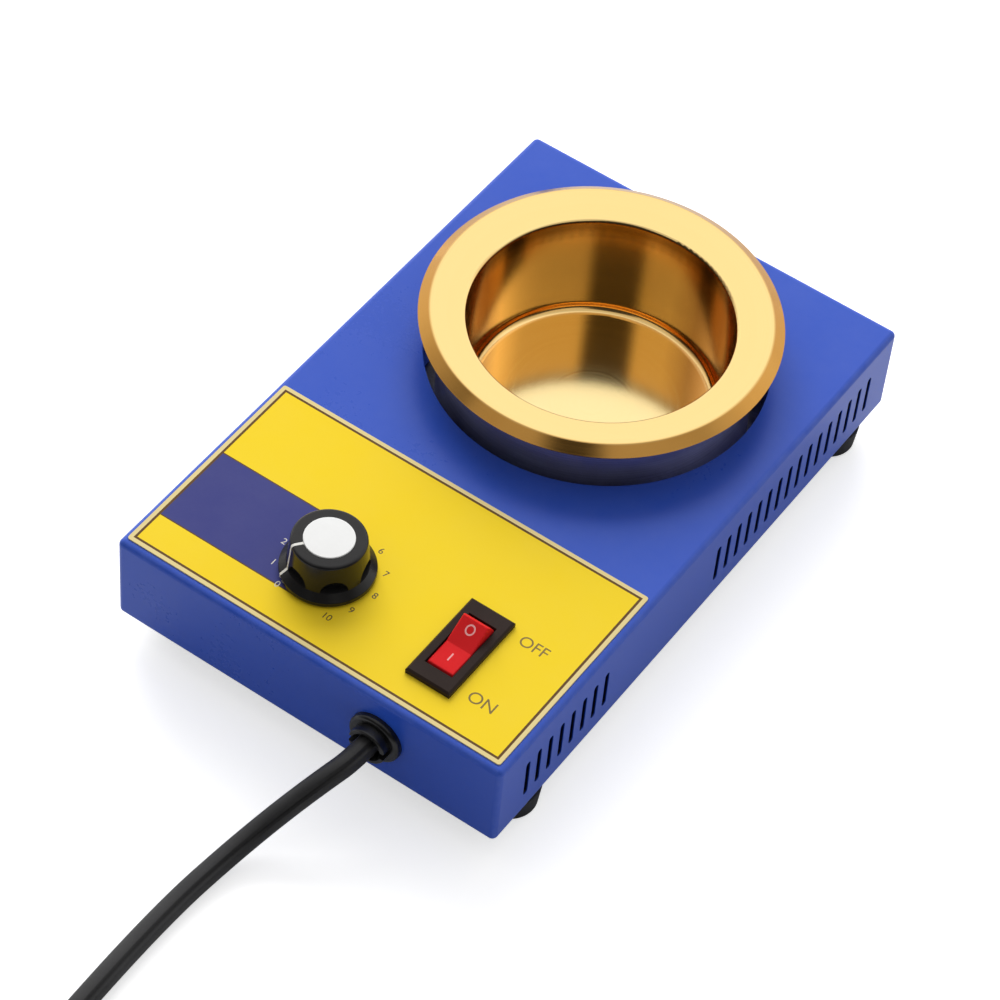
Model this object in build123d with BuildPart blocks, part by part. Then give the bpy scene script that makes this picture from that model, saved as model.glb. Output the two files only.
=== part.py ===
from build123d import *
import math
import os

# Solder pot: a folded sheet case on rubber feet, a heated crucible in a steel barrel,
# a dial, a rocker switch and a mains cord.
# Millimetres. +X runs to the right along the front edge, +Y to the back, +Z up.
# The origin is on the floor, below the middle of the case.

os.makedirs("parts", exist_ok=True)

# Folded case
case_width = 130.0
case_length = 203.5
case_height = 31.3
case_sheet = 1.0
fold_radius = 1.8
side_return = 14.0
end_return = 10.0
relief_width = 1.2

# Base plate
plate_sheet = 1.0
plate_inset = 2.0
plate_corner_radius = 3.0

# Rubber feet
foot_height = 8.0
foot_top_radius = 8.8
foot_bottom_radius = 8.0
foot_edge_radius = 1.0
foot_side_inset = 8.8
foot_front_inset = 21.0
foot_back_inset = 15.5
foot_recess_radius = 4.2
foot_recess_depth = 4.0

# M3 screws and nuts
screw_radius = 1.5
screw_hole_clearance = 0.2
thread_clearance = 0.05
screw_head_radius = 2.9
drive_length = 3.2
drive_width = 0.7
drive_depth = 1.1
screw_head_height = 1.9
screw_tip = 1.0
nut_flats = 5.5
nut_height = 2.4
base_screw_length = 6.0

# Side vents
vent_width = 2.1
vent_height = 14.4
vent_pitch = 5.43
vent_below_top = 16.4
front_vent_count = 8
front_vent_inset = 33.05
rear_vent_count = 16
rear_vent_inset = 54.05

# Crucible with its dished flange
pot_y = 39.5
crucible_depth = 36.0
crucible_wall = 1.8
mouth_radius = 39.1
floor_radius = 37.8
floor_fillet = 3.0
mouth_fillet = 1.2
crease_radius = 49.7
flange_rise = 3.0
crease_fillet = 0.8
lip_radius = 53.1
lip_drop = 2.5
pot_hole_radius = 51.0

# Stack under the crucible
spacer_height = 3.5
spacer_radius = 7.0
insulation_thickness = 3.0
insulation_radius = 36.0
stud_radius = 2.5
stud_clearance = 0.2
stud_flange_radius = 7.0
stud_flange_thickness = 1.5
stud_washer_radius = 5.0
stud_washer_thickness = 1.0
stud_nut_flats = 8.0
stud_nut_height = 4.0
stud_tail = 1.0

# Barrel and heater
barrel_radius = 46.5
barrel_sheet = 1.0
barrel_corner_radius = 3.0
seat_clearance = 0.05
lead_hole_radius = 4.6
lead_hole_rise = 11.0
grommet_clearance = 0.1
grommet_wall = 0.8
grommet_flange_radius = 6.0
grommet_flange_thickness = 1.2
grommet_neck_length = 2.0
heater_rise = 3.5
heater_height = 26.0
heater_thickness = 2.4
heater_clearance = 0.2
heater_gap = 4.0
clamp_thickness = 0.6
clamp_height = 12.0
clamp_gap = 8.0

# Control label
label_thickness = 0.4
label_width = 126.0
label_length = 71.8
label_front_inset = 2.4
label_shift_x = -0.2
label_corner_radius = 0.8

# Dial
dial_x = -12.8
control_inset = 27.5
knob_lift = 0.8
knob_height = 13.0
skirt_radius = 13.7
skirt_thickness = 1.3
knob_base_radius = 11.7
knob_base_rise = 3.2
knob_top_radius = 10.7
knob_top_fillet = 1.0
skirt_fillet = 0.4
flute_count = 6
flute_radius = 5.0
flute_depth = 2.6
cap_radius = 7.25
cap_thickness = 0.9
cap_recess = 0.6
cap_clearance = 0.05
knob_bore_clearance = 0.02
set_screw_rise = 7.0
set_screw_length = 4.0
pointer_angle = -135.0
control_radius = 8.5
control_height = 8.5
bushing_radius = 3.45
bushing_hole_clearance = 0.2
bushing_height = 6.5
shaft_radius = 3.0
shaft_clearance = 0.05
shaft_rise = 10.4
shaft_depth = 6.5
dial_nut_flats = 10.0
dial_nut_height = 2.2
dial_washer_radius = 5.8
dial_washer_thickness = 0.5
knob_recess_radius = 6.8
knob_recess_clearance = 0.5
lug_width = 1.5
lug_thickness = 0.6
lug_length = 7.0
lug_pitch = 5.0
lug_overlap = 1.0

# Rocker switch
switch_x = 32.1
bezel_width = 14.6
bezel_length = 31.2
bezel_height = 2.0
bezel_chamfer = 0.6
housing_width = 12.8
housing_length = 28.2
housing_depth = 16.0
housing_clearance = 0.2
rocker_width = 8.6
rocker_radius = 10.1
rocker_fillet = 0.5
rocker_side_clearance = 0.3
rocker_end_clearance = 0.4
rocker_valley = 3.2
rocker_tilt = 14.0
rocker_skirt_angle = 25.0
rocker_floor_clearance = 0.4
pivot_depth = 1.5
pin_radius = 1.2
pin_length = 0.8
pin_clearance = 0.05
terminal_width = 4.8
terminal_thickness = 0.8
terminal_length = 8.0
terminal_pitch = 7.6
terminal_count = 3

# Control board
board_right = 16.0
board_y = -38.0
board_width = 56.0
board_length = 40.0
board_thickness = 1.6
board_hole_inset = 4.0
standoff_height = 6.0
standoff_radius = 3.0
standoff_stub_radius = 2.0
board_screw_length = 6.0
sink_screw_gap = 1.1
sink_block_gap = 3.0
sink_height = 20.0
sink_base = 3.0
fin_depth = 7.0
fin_thickness = 1.2
fin_count = 7
sink_back_inset = 3.0
triac_width = 10.0
triac_depth = 4.5
triac_height = 15.0
triac_lift = 3.0
triac_leg_pitch = 2.5
triac_leg_width = 0.8
capacitor_gap = 1.0
capacitor_triac_gap = 1.0
capacitor_width = 18.0
capacitor_length = 8.5
capacitor_height = 15.0
capacitor_chamfer = 0.6
choke_gap = 8.0
choke_y = -43.3
choke_radius = 5.2
choke_section = 2.2
block_y = -43.0
block_pitch = 5.0
block_depth = 9.0
block_height = 11.0
block_entry = 4.0
block_entry_width = 3.6
mains_ways = 3
heater_ways = 2

# Leads inside the case
core_radius = 1.0
core_circle = 2.15
core_angles = (125.0, 185.0, 245.0)
heater_lead_radius = 1.1
heater_lead_spacing = 4.8
dial_lead_radius = 0.75
lead_seat = 3.0
receptacle_width = 6.4
receptacle_thickness = 4.0
receptacle_height = 8.7
receptacle_gap = 0.4
receptacle_clearance = 0.05
receptacle_lead_drop = 5.1

# Earth point on the base plate
earth_x = 20.0
earth_behind_controls = 8.25
ring_radius = 3.2
ring_thickness = 0.8
tongue_length = 5.0
crimp_radius = 1.6
crimp_length = 5.0
crimp_depth = 4.0

# Cord bushing and mains cord
cord_x = 25.0
cord_rise = 16.0
cord_diameter = 6.6
bushing_flange_radius = 8.3
bushing_flange_thickness = 2.2
bushing_nose_radius = 6.0
bushing_nose_length = 3.0
bushing_mouth_radius = 4.8
bushing_slot_width = 2.4
bushing_edge_radius = 1.2
bushing_rim_radius = 0.5
bushing_neck_radius = 6.2
bushing_lug_radius = 6.9
bushing_lug_thickness = 1.5
bushing_inner_length = 9.0
neck_clearance = 0.1
bore_clearance = 0.05
cord_tail_inside = 3.0

# Coil and plug
coil_x = 50.3
coil_y = -249.5
coil_middle_radius = 36.3
coil_rows = 2
coil_columns = 3
tail_length = 26.0
relief_length = 22.0
relief_end_radius = 4.4
relief_start_radius = 6.5
plug_length = 30.0
plug_width = 24.0
plug_height = 22.0
plug_edge_radius = 4.0
blade_length = 17.5
blade_width = 6.3
blade_thickness = 1.5
blade_spacing = 12.7
ground_pin_radius = 2.4
ground_pin_length = 20.6
ground_pin_offset = 5.9
blade_drop = 6.0

# Heights that follow from the sizes
plate_bottom = foot_height
plate_top = plate_bottom + plate_sheet
case_bottom = plate_top
case_top = case_bottom + case_height
panel_under = case_top - case_sheet
label_top = case_top + label_thickness
return_top = case_bottom + case_sheet
barrel_floor = plate_top + spacer_height
insulation_bottom = barrel_floor + barrel_sheet
crucible_bottom = insulation_bottom + insulation_thickness
floor_z = crucible_bottom + crucible_wall
mouth_z = floor_z + crucible_depth
crease_z = mouth_z + flange_rise
lip_z = crease_z - lip_drop
front_y = -case_length / 2
control_y = front_y + control_inset
earth_y = control_y + earth_behind_controls
board_x = board_right - board_width / 2
board_left = board_right - board_width
board_back = board_y + board_length / 2
screw_hole_radius = screw_radius + screw_hole_clearance

foot_points = []
for side in (-1, 1):
    foot_points.append((side * (case_width / 2 - foot_side_inset), front_y + foot_front_inset))
    foot_points.append((side * (case_width / 2 - foot_side_inset), -front_y - foot_back_inset))
base_screw_points = [(side * (case_width / 2 - foot_side_inset), front_y + case_length * 0.45) for side in (-1, 1)]

pot_plane = Plane.XZ.offset(-pot_y)
pot_axis = Axis((0, pot_y, 0), (0, 0, 1))
dial_plane = Plane((dial_x, control_y, 0))
dial_side = Plane(origin=(dial_x, control_y, 0), x_dir=(1, 0, 0), z_dir=(0, -1, 0))
dial_axis = Axis((dial_x, control_y, 0), (0, 0, 1))
switch_plane = Plane((switch_x, control_y, 0))


def nearest_corner(sketch, x, y):
    """The corner of a sketch nearest to a point of its plane."""
    return sketch.vertices().sort_by_distance((x, y))[0]


def bend_radii(points):
    """Arc radius at each inner point of a route: as large as its two runs allow."""
    radii = []
    for before, point, after in zip(points, points[1:], points[2:]):
        half_turn = math.radians((point - before).get_angle(after - point)) / 2
        shorter = min((point - before).length, (after - point).length)
        radii.append(0.45 * shorter / math.tan(half_turn))
    return radii


# Case: one sheet folded down on four sides and turned in at the bottom
with BuildPart() as case_cover:
    with Locations((0, 0, case_bottom + case_height / 2)):
        Box(case_width, case_length, case_height)
    fillet(case_cover.edges(), fold_radius)
    with Locations((0, 0, case_bottom + case_height / 2)):
        Box(
            case_width - 2 * case_sheet,
            case_length - 2 * case_sheet,
            case_height - 2 * case_sheet,
            mode=Mode.SUBTRACT,
        )
    with BuildSketch(Plane.XY.offset(case_bottom)):
        Rectangle(case_width - 2 * side_return, case_length - 2 * end_return)
    extrude(amount=case_sheet, mode=Mode.SUBTRACT)
    with BuildSketch(Plane.XY.offset(case_bottom)):
        for side_x in (-1, 1):
            for side_y in (-1, 1):
                with BuildLine():
                    Line(
                        (side_x * (case_width / 2 - fold_radius), side_y * (case_length / 2 - fold_radius)),
                        (side_x * (case_width / 2 - side_return), side_y * (case_length / 2 - end_return)),
                    )
                    offset(amount=relief_width / 2)
                make_face()
    extrude(amount=case_sheet, mode=Mode.SUBTRACT)
    with BuildSketch(Plane.YZ):
        vent_z = case_top - vent_below_top
        with Locations((front_y + front_vent_inset, vent_z)):
            with GridLocations(vent_pitch, 0, front_vent_count, 1):
                SlotOverall(vent_height, vent_width, rotation=90)
        with Locations((-front_y - rear_vent_inset, vent_z)):
            with GridLocations(vent_pitch, 0, rear_vent_count, 1):
                SlotOverall(vent_height, vent_width, rotation=90)
    extrude(amount=case_width / 2, both=True, mode=Mode.SUBTRACT)
    with BuildSketch(Plane.XY.offset(panel_under)):
        with Locations((0, pot_y)):
            Circle(pot_hole_radius)
        with Locations((dial_x, control_y)):
            Circle(bushing_radius + bushing_hole_clearance)
        with Locations((switch_x, control_y)):
            Rectangle(housing_width + 2 * housing_clearance, housing_length + 2 * housing_clearance)
    extrude(amount=case_sheet, mode=Mode.SUBTRACT)
    with BuildSketch(Plane.XZ.offset(-front_y - case_sheet)):
        with Locations((cord_x, case_bottom + cord_rise)):
            Circle(bushing_neck_radius + neck_clearance)
    extrude(amount=case_sheet, mode=Mode.SUBTRACT)
    with BuildSketch(Plane.XY.offset(case_bottom)):
        with Locations(*foot_points):
            Circle(screw_hole_radius)
        with Locations(*base_screw_points):
            Circle(screw_radius + thread_clearance)
    extrude(amount=case_sheet, mode=Mode.SUBTRACT)
case_cover.part.label = "case_cover"
export_step(case_cover.part, "parts/case_cover.step")

# Base plate, with the holes for the feet, the stud, the side screws and the board
board_points = []
for side_x in (-1, 1):
    for side_y in (-1, 1):
        point_x = board_x + side_x * (board_width / 2 - board_hole_inset)
        point_y = board_y + side_y * (board_length / 2 - board_hole_inset)
        board_points.append((point_x, point_y))

with BuildPart() as base_plate:
    with BuildSketch(Plane.XY.offset(plate_bottom)):
        RectangleRounded(case_width - 2 * plate_inset, case_length - 2 * plate_inset, plate_corner_radius)
        with Locations(*foot_points):
            Circle(screw_hole_radius, mode=Mode.SUBTRACT)
        with Locations(*base_screw_points):
            Circle(screw_hole_radius, mode=Mode.SUBTRACT)
        with Locations((0, pot_y)):
            Circle(stud_radius + stud_clearance, mode=Mode.SUBTRACT)
        with Locations(*board_points):
            Circle(standoff_stub_radius + thread_clearance, mode=Mode.SUBTRACT)
        with Locations((earth_x, earth_y)):
            Circle(screw_hole_radius, mode=Mode.SUBTRACT)
    extrude(amount=plate_sheet)
base_plate.part.label = "base_plate"
export_step(base_plate.part, "parts/base_plate.step")

# Rubber feet, each held by a screw from below and a nut on the turned-in edge
for number, (foot_x, foot_y) in enumerate(foot_points, start=1):
    foot_side = Plane(origin=(foot_x, foot_y, 0), x_dir=(1, 0, 0), z_dir=(0, -1, 0))
    foot_axis = Axis((foot_x, foot_y, 0), (0, 0, 1))
    with BuildPart() as foot:
        with BuildSketch(foot_side) as foot_profile:
            with BuildLine():
                Polyline(
                    (screw_hole_radius, foot_recess_depth),
                    (foot_recess_radius, foot_recess_depth),
                    (foot_recess_radius, 0),
                    (foot_bottom_radius, 0),
                    (foot_top_radius, foot_height),
                    (screw_hole_radius, foot_height),
                    close=True,
                )
            make_face()
            fillet(nearest_corner(foot_profile, foot_bottom_radius, 0), foot_edge_radius)
        revolve(axis=foot_axis)
    foot.part.label = f"foot_{number}"
    export_step(foot.part, f"parts/foot_{number}.step")

# Cross recess of the screw heads
with BuildSketch() as drive_cross:
    Rectangle(drive_length, drive_width)
    Rectangle(drive_width, drive_length)

with BuildPart() as foot_screws:
    with BuildSketch(Plane.XY.offset(foot_recess_depth - screw_head_height)):
        with Locations(*foot_points):
            Circle(screw_head_radius)
    extrude(amount=screw_head_height)
    with BuildSketch(Plane.XY.offset(foot_recess_depth)):
        with Locations(*foot_points):
            Circle(screw_radius)
    extrude(amount=return_top + nut_height + screw_tip - foot_recess_depth)
    with BuildSketch(Plane.XY.offset(foot_recess_depth - screw_head_height)):
        with Locations(*foot_points):
            add(drive_cross.sketch)
    extrude(amount=drive_depth, mode=Mode.SUBTRACT)
foot_screws.part.label = "foot_screws"
export_step(foot_screws.part, "parts/foot_screws.step")

with BuildPart() as foot_nuts:
    with BuildSketch(Plane.XY.offset(return_top)):
        with Locations(*foot_points):
            RegularPolygon(nut_flats / 2, 6, major_radius=False)
            Circle(screw_radius + thread_clearance, mode=Mode.SUBTRACT)
    extrude(amount=nut_height)
foot_nuts.part.label = "foot_nuts"
export_step(foot_nuts.part, "parts/foot_nuts.step")

with BuildPart() as base_screws:
    with BuildSketch(Plane.XY.offset(plate_bottom - screw_head_height)):
        with Locations(*base_screw_points):
            Circle(screw_head_radius)
    extrude(amount=screw_head_height)
    with BuildSketch(Plane.XY.offset(plate_bottom)):
        with Locations(*base_screw_points):
            Circle(screw_radius)
    extrude(amount=base_screw_length)
    with BuildSketch(Plane.XY.offset(plate_bottom - screw_head_height)):
        with Locations(*base_screw_points):
            add(drive_cross.sketch)
    extrude(amount=drive_depth, mode=Mode.SUBTRACT)
base_screws.part.label = "base_screws"
export_step(base_screws.part, "parts/base_screws.step")

# Crucible: one drawn cup with a dished flange and a turned-down lip
with BuildPart() as crucible:
    with BuildSketch(pot_plane) as cup_profile:
        with BuildLine():
            Polyline(
                (0, floor_z),
                (floor_radius, floor_z),
                (mouth_radius, mouth_z),
                (crease_radius, crease_z),
                (lip_radius, lip_z),
            )
            offset(amount=crucible_wall, kind=Kind.INTERSECTION, side=Side.RIGHT)
        make_face()
        fillet(nearest_corner(cup_profile, floor_radius, floor_z), floor_fillet)
        fillet(
            nearest_corner(cup_profile, floor_radius + crucible_wall, crucible_bottom),
            floor_fillet + crucible_wall,
        )
        fillet(nearest_corner(cup_profile, mouth_radius, mouth_z), mouth_fillet)
        fillet(nearest_corner(cup_profile, crease_radius, crease_z), crease_fillet)
    revolve(axis=pot_axis)
crucible.part.label = "crucible"
export_step(crucible.part, "parts/crucible.step")

# Stud welded under the crucible, with the washer and nut that pull the stack together
stud_bottom = plate_bottom - stud_washer_thickness - stud_nut_height - stud_tail
with BuildPart() as crucible_stud:
    with BuildSketch(Plane((0, pot_y, crucible_bottom - stud_flange_thickness))):
        Circle(stud_flange_radius)
    extrude(amount=stud_flange_thickness)
    with BuildSketch(Plane((0, pot_y, stud_bottom))):
        Circle(stud_radius)
    extrude(amount=crucible_bottom - stud_flange_thickness - stud_bottom)
crucible_stud.part.label = "crucible_stud"
export_step(crucible_stud.part, "parts/crucible_stud.step")

with BuildPart() as stud_washer:
    with BuildSketch(Plane((0, pot_y, plate_bottom - stud_washer_thickness))):
        Circle(stud_washer_radius)
        Circle(stud_radius + thread_clearance, mode=Mode.SUBTRACT)
    extrude(amount=stud_washer_thickness)
stud_washer.part.label = "stud_washer"
export_step(stud_washer.part, "parts/stud_washer.step")

with BuildPart() as stud_nut:
    with BuildSketch(Plane((0, pot_y, plate_bottom - stud_washer_thickness - stud_nut_height))):
        RegularPolygon(stud_nut_flats / 2, 6, major_radius=False)
        Circle(stud_radius + thread_clearance, mode=Mode.SUBTRACT)
    extrude(amount=stud_nut_height)
stud_nut.part.label = "stud_nut"
export_step(stud_nut.part, "parts/stud_nut.step")

with BuildPart() as insulation_disc:
    with BuildSketch(Plane((0, pot_y, insulation_bottom))):
        Circle(insulation_radius)
        Circle(stud_radius + stud_clearance, mode=Mode.SUBTRACT)
    extrude(amount=insulation_thickness)
    with BuildSketch(Plane((0, pot_y, crucible_bottom - stud_flange_thickness))):
        Circle(stud_flange_radius + stud_clearance)
    extrude(amount=stud_flange_thickness, mode=Mode.SUBTRACT)
insulation_disc.part.label = "insulation_disc"
export_step(insulation_disc.part, "parts/insulation_disc.step")

with BuildPart() as barrel_spacer:
    with BuildSketch(Plane((0, pot_y, plate_top))):
        Circle(spacer_radius)
        Circle(stud_radius + stud_clearance, mode=Mode.SUBTRACT)
    extrude(amount=spacer_height)
barrel_spacer.part.label = "barrel_spacer"
export_step(barrel_spacer.part, "parts/barrel_spacer.step")

# Barrel: a drawn steel cup whose open edge carries the crucible's flange
flange_angle = math.atan2(flange_rise, crease_radius - mouth_radius)
barrel_inner_radius = barrel_radius - barrel_sheet
barrel_top = (
    mouth_z
    + (barrel_inner_radius - mouth_radius) * math.tan(flange_angle)
    - crucible_wall / math.cos(flange_angle)
    - seat_clearance
)
with BuildPart() as heater_barrel:
    with BuildSketch(pot_plane) as barrel_profile:
        with BuildLine():
            Polyline(
                (stud_radius + stud_clearance, barrel_floor),
                (barrel_radius, barrel_floor),
                (barrel_radius, barrel_top),
                (barrel_inner_radius, barrel_top),
                (barrel_inner_radius, insulation_bottom),
                (stud_radius + stud_clearance, insulation_bottom),
                close=True,
            )
        make_face()
        fillet(nearest_corner(barrel_profile, barrel_radius, barrel_floor), barrel_corner_radius)
        fillet(
            nearest_corner(barrel_profile, barrel_inner_radius, insulation_bottom),
            barrel_corner_radius - barrel_sheet,
        )
    revolve(axis=pot_axis)
    with BuildSketch(Plane.XZ.offset(-pot_y)):
        with Locations((0, barrel_floor + lead_hole_rise)):
            Circle(lead_hole_radius)
    extrude(amount=barrel_radius, mode=Mode.SUBTRACT)
heater_barrel.part.label = "heater_barrel"
export_step(heater_barrel.part, "parts/heater_barrel.step")

# Flanged grommet in the barrel's lead hole
lead_hole_z = barrel_floor + lead_hole_rise
barrel_front = pot_y - barrel_radius
grommet_neck_radius = lead_hole_radius - grommet_clearance
grommet_face = barrel_front - grommet_clearance - grommet_flange_thickness
with BuildPart() as lead_grommet:
    with BuildSketch(Plane(origin=(0, grommet_face, lead_hole_z), z_dir=(0, 1, 0))):
        Circle(grommet_flange_radius)
    extrude(amount=grommet_flange_thickness)
    with BuildSketch(Plane(origin=(0, grommet_face, lead_hole_z), z_dir=(0, 1, 0))):
        Circle(grommet_neck_radius)
    extrude(amount=grommet_flange_thickness + grommet_neck_length)
    with BuildSketch(Plane(origin=(0, grommet_face, lead_hole_z), z_dir=(0, 1, 0))):
        Circle(grommet_neck_radius - grommet_wall)
    extrude(amount=grommet_flange_thickness + grommet_neck_length, mode=Mode.SUBTRACT)
lead_grommet.part.label = "lead_grommet"
export_step(lead_grommet.part, "parts/lead_grommet.step")

# Heater sleeve round the cup, and the sheet band that holds it
wall_slope = (mouth_radius - floor_radius) / crucible_depth
wall_outset = crucible_wall / math.cos(math.atan(wall_slope))


def cup_outer_radius(z):
    """Outer radius of the crucible's tapered wall at a height."""
    return floor_radius + (z - floor_z) * wall_slope + wall_outset


heater_bottom = floor_z + heater_rise
heater_top = heater_bottom + heater_height
with BuildPart() as heater_sleeve:
    with BuildSketch(pot_plane):
        with BuildLine():
            Polyline(
                (cup_outer_radius(heater_bottom) + heater_clearance, heater_bottom),
                (cup_outer_radius(heater_top) + heater_clearance, heater_top),
                (cup_outer_radius(heater_top) + heater_clearance + heater_thickness, heater_top),
                (cup_outer_radius(heater_bottom) + heater_clearance + heater_thickness, heater_bottom),
                close=True,
            )
        make_face()
    revolve(axis=pot_axis)
    with BuildSketch(Plane.XY.offset(heater_bottom)):
        with Locations((0, pot_y - barrel_radius / 2)):
            Rectangle(heater_gap, barrel_radius)
    extrude(amount=heater_height, mode=Mode.SUBTRACT)
heater_sleeve.part.label = "heater_sleeve"
export_step(heater_sleeve.part, "parts/heater_sleeve.step")

clamp_bottom = (heater_bottom + heater_top - clamp_height) / 2
clamp_top = clamp_bottom + clamp_height
clamp_outset = heater_clearance + heater_thickness + seat_clearance
with BuildPart() as heater_clamp:
    with BuildSketch(pot_plane):
        with BuildLine():
            Polyline(
                (cup_outer_radius(clamp_bottom) + clamp_outset, clamp_bottom),
                (cup_outer_radius(clamp_top) + clamp_outset, clamp_top),
                (cup_outer_radius(clamp_top) + clamp_outset + clamp_thickness, clamp_top),
                (cup_outer_radius(clamp_bottom) + clamp_outset + clamp_thickness, clamp_bottom),
                close=True,
            )
        make_face()
    revolve(axis=pot_axis)
    with BuildSketch(Plane.XY.offset(clamp_bottom)):
        with Locations((0, pot_y - barrel_radius / 2)):
            Rectangle(clamp_gap, barrel_radius)
    extrude(amount=clamp_height, mode=Mode.SUBTRACT)
heater_clamp.part.label = "heater_clamp"
export_step(heater_clamp.part, "parts/heater_clamp.step")

# Control label on the front of the top panel
with BuildPart() as control_label:
    with BuildSketch(Plane.XY.offset(case_top)):
        with Locations((label_shift_x, front_y + label_front_inset + label_length / 2)):
            RectangleRounded(label_width, label_length, label_corner_radius)
        with Locations((dial_x, control_y)):
            Circle(bushing_radius + bushing_hole_clearance, mode=Mode.SUBTRACT)
        with Locations((switch_x, control_y)):
            Rectangle(
                housing_width + 2 * housing_clearance,
                housing_length + 2 * housing_clearance,
                mode=Mode.SUBTRACT,
            )
    extrude(amount=label_thickness)
control_label.part.label = "control_label"
export_step(control_label.part, "parts/control_label.step")

# Dial control: body and threaded neck under the panel, washer and nut on top
neck_top = panel_under + bushing_height
shaft_bottom = panel_under - shaft_depth
with BuildPart() as dial_control:
    with BuildSketch(dial_plane.offset(panel_under - control_height)):
        Circle(control_radius)
    extrude(amount=control_height)
    with BuildSketch(dial_plane.offset(panel_under)):
        Circle(bushing_radius)
    extrude(amount=bushing_height)
    with BuildSketch(dial_plane.offset(shaft_bottom - shaft_clearance)):
        Circle(shaft_radius + shaft_clearance)
    extrude(amount=neck_top - shaft_bottom + shaft_clearance, mode=Mode.SUBTRACT)
dial_control.part.label = "dial_control"
export_step(dial_control.part, "parts/dial_control.step")

with BuildPart() as dial_lugs:
    with BuildSketch(dial_plane.offset(panel_under - control_height / 2)):
        with Locations((0, control_radius + lug_length / 2)):
            with GridLocations(lug_pitch, 0, 3, 1):
                Rectangle(lug_width, lug_length + lug_overlap)
    extrude(amount=lug_thickness)
    with BuildSketch(dial_plane.offset(panel_under - control_height / 2)):
        Circle(control_radius)
    extrude(amount=lug_thickness, mode=Mode.SUBTRACT)
dial_lugs.part.label = "dial_lugs"
export_step(dial_lugs.part, "parts/dial_lugs.step")

with BuildPart() as dial_washer:
    with BuildSketch(dial_plane.offset(label_top)):
        Circle(dial_washer_radius)
        Circle(bushing_radius + thread_clearance, mode=Mode.SUBTRACT)
    extrude(amount=dial_washer_thickness)
dial_washer.part.label = "dial_washer"
export_step(dial_washer.part, "parts/dial_washer.step")

with BuildPart() as dial_nut:
    with BuildSketch(dial_plane.offset(label_top + dial_washer_thickness)):
        RegularPolygon(dial_nut_flats / 2, 6, major_radius=False)
        Circle(bushing_radius + thread_clearance, mode=Mode.SUBTRACT)
    extrude(amount=dial_nut_height)
dial_nut.part.label = "dial_nut"
export_step(dial_nut.part, "parts/dial_nut.step")

shaft_top = label_top + shaft_rise
with BuildPart() as dial_shaft:
    with BuildSketch(dial_plane.offset(shaft_bottom)):
        Circle(shaft_radius)
    extrude(amount=shaft_top - shaft_bottom)
dial_shaft.part.label = "dial_shaft"
export_step(dial_shaft.part, "parts/dial_shaft.step")

# Knob: skirt, tapered body with scalloped flutes, white cap in its top
knob_bottom = label_top + knob_lift
knob_top = knob_bottom + knob_height
knob_recess_top = max(neck_top, label_top + dial_washer_thickness + dial_nut_height) + knob_recess_clearance
flute_floor = knob_bottom + knob_base_rise
flute_middle = knob_base_radius + flute_radius - flute_depth
flute_start = 90 - pointer_angle + 180 / flute_count
with BuildPart() as knob_body:
    with BuildSketch(dial_side) as knob_profile:
        with BuildLine():
            Polyline(
                (0, knob_bottom),
                (skirt_radius, knob_bottom),
                (skirt_radius, knob_bottom + skirt_thickness),
                (knob_base_radius, knob_bottom + knob_base_rise),
                (knob_top_radius, knob_top),
                (0, knob_top),
                close=True,
            )
        make_face()
        fillet(nearest_corner(knob_profile, knob_top_radius, knob_top), knob_top_fillet)
        fillet(nearest_corner(knob_profile, skirt_radius, knob_bottom + skirt_thickness), skirt_fillet)
    revolve(axis=dial_axis)
    with Locations(dial_plane.offset(flute_floor)):
        with PolarLocations(flute_middle, flute_count, flute_start):
            Sphere(flute_radius, arc_size1=0, align=(Align.CENTER, Align.CENTER, Align.MIN), mode=Mode.SUBTRACT)
    with BuildSketch(dial_plane.offset(knob_bottom)):
        Circle(knob_recess_radius)
    extrude(amount=knob_recess_top - knob_bottom, mode=Mode.SUBTRACT)
    with BuildSketch(dial_plane.offset(knob_bottom)):
        Circle(shaft_radius + knob_bore_clearance)
    extrude(amount=shaft_top + knob_recess_clearance - knob_bottom, mode=Mode.SUBTRACT)
    with BuildSketch(dial_plane.offset(knob_top - cap_recess)):
        Circle(cap_radius + cap_clearance)
    extrude(amount=cap_recess, mode=Mode.SUBTRACT)
    screw_heading = math.radians(90 - pointer_angle + 180)
    screw_direction = (math.cos(screw_heading), math.sin(screw_heading), 0)
    set_screw_plane = Plane(origin=(dial_x, control_y, knob_bottom + set_screw_rise), z_dir=screw_direction)
    with BuildSketch(set_screw_plane):
        Circle(screw_radius + thread_clearance)
    extrude(amount=skirt_radius, mode=Mode.SUBTRACT)
knob_body.part.label = "knob_body"
export_step(knob_body.part, "parts/knob_body.step")

with BuildPart() as knob_set_screw:
    with BuildSketch(set_screw_plane.offset(shaft_radius)):
        Circle(screw_radius)
    extrude(amount=set_screw_length)
    with BuildSketch(set_screw_plane.offset(shaft_radius + set_screw_length)):
        RegularPolygon(screw_radius / 2, 6, major_radius=False)
    extrude(amount=-screw_radius, mode=Mode.SUBTRACT)
    with BuildSketch(dial_plane.offset(knob_bottom)):
        Circle(shaft_radius)
    extrude(amount=knob_height, mode=Mode.SUBTRACT)
knob_set_screw.part.label = "knob_set_screw"
export_step(knob_set_screw.part, "parts/knob_set_screw.step")

with BuildPart() as knob_cap:
    with BuildSketch(dial_plane.offset(knob_top - cap_recess)):
        Circle(cap_radius)
    extrude(amount=cap_thickness)
    fillet(knob_cap.faces().sort_by(Axis.Z)[-1].edges(), (cap_thickness - cap_recess) * 0.8)
knob_cap.part.label = "knob_cap"
export_step(knob_cap.part, "parts/knob_cap.step")

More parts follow.
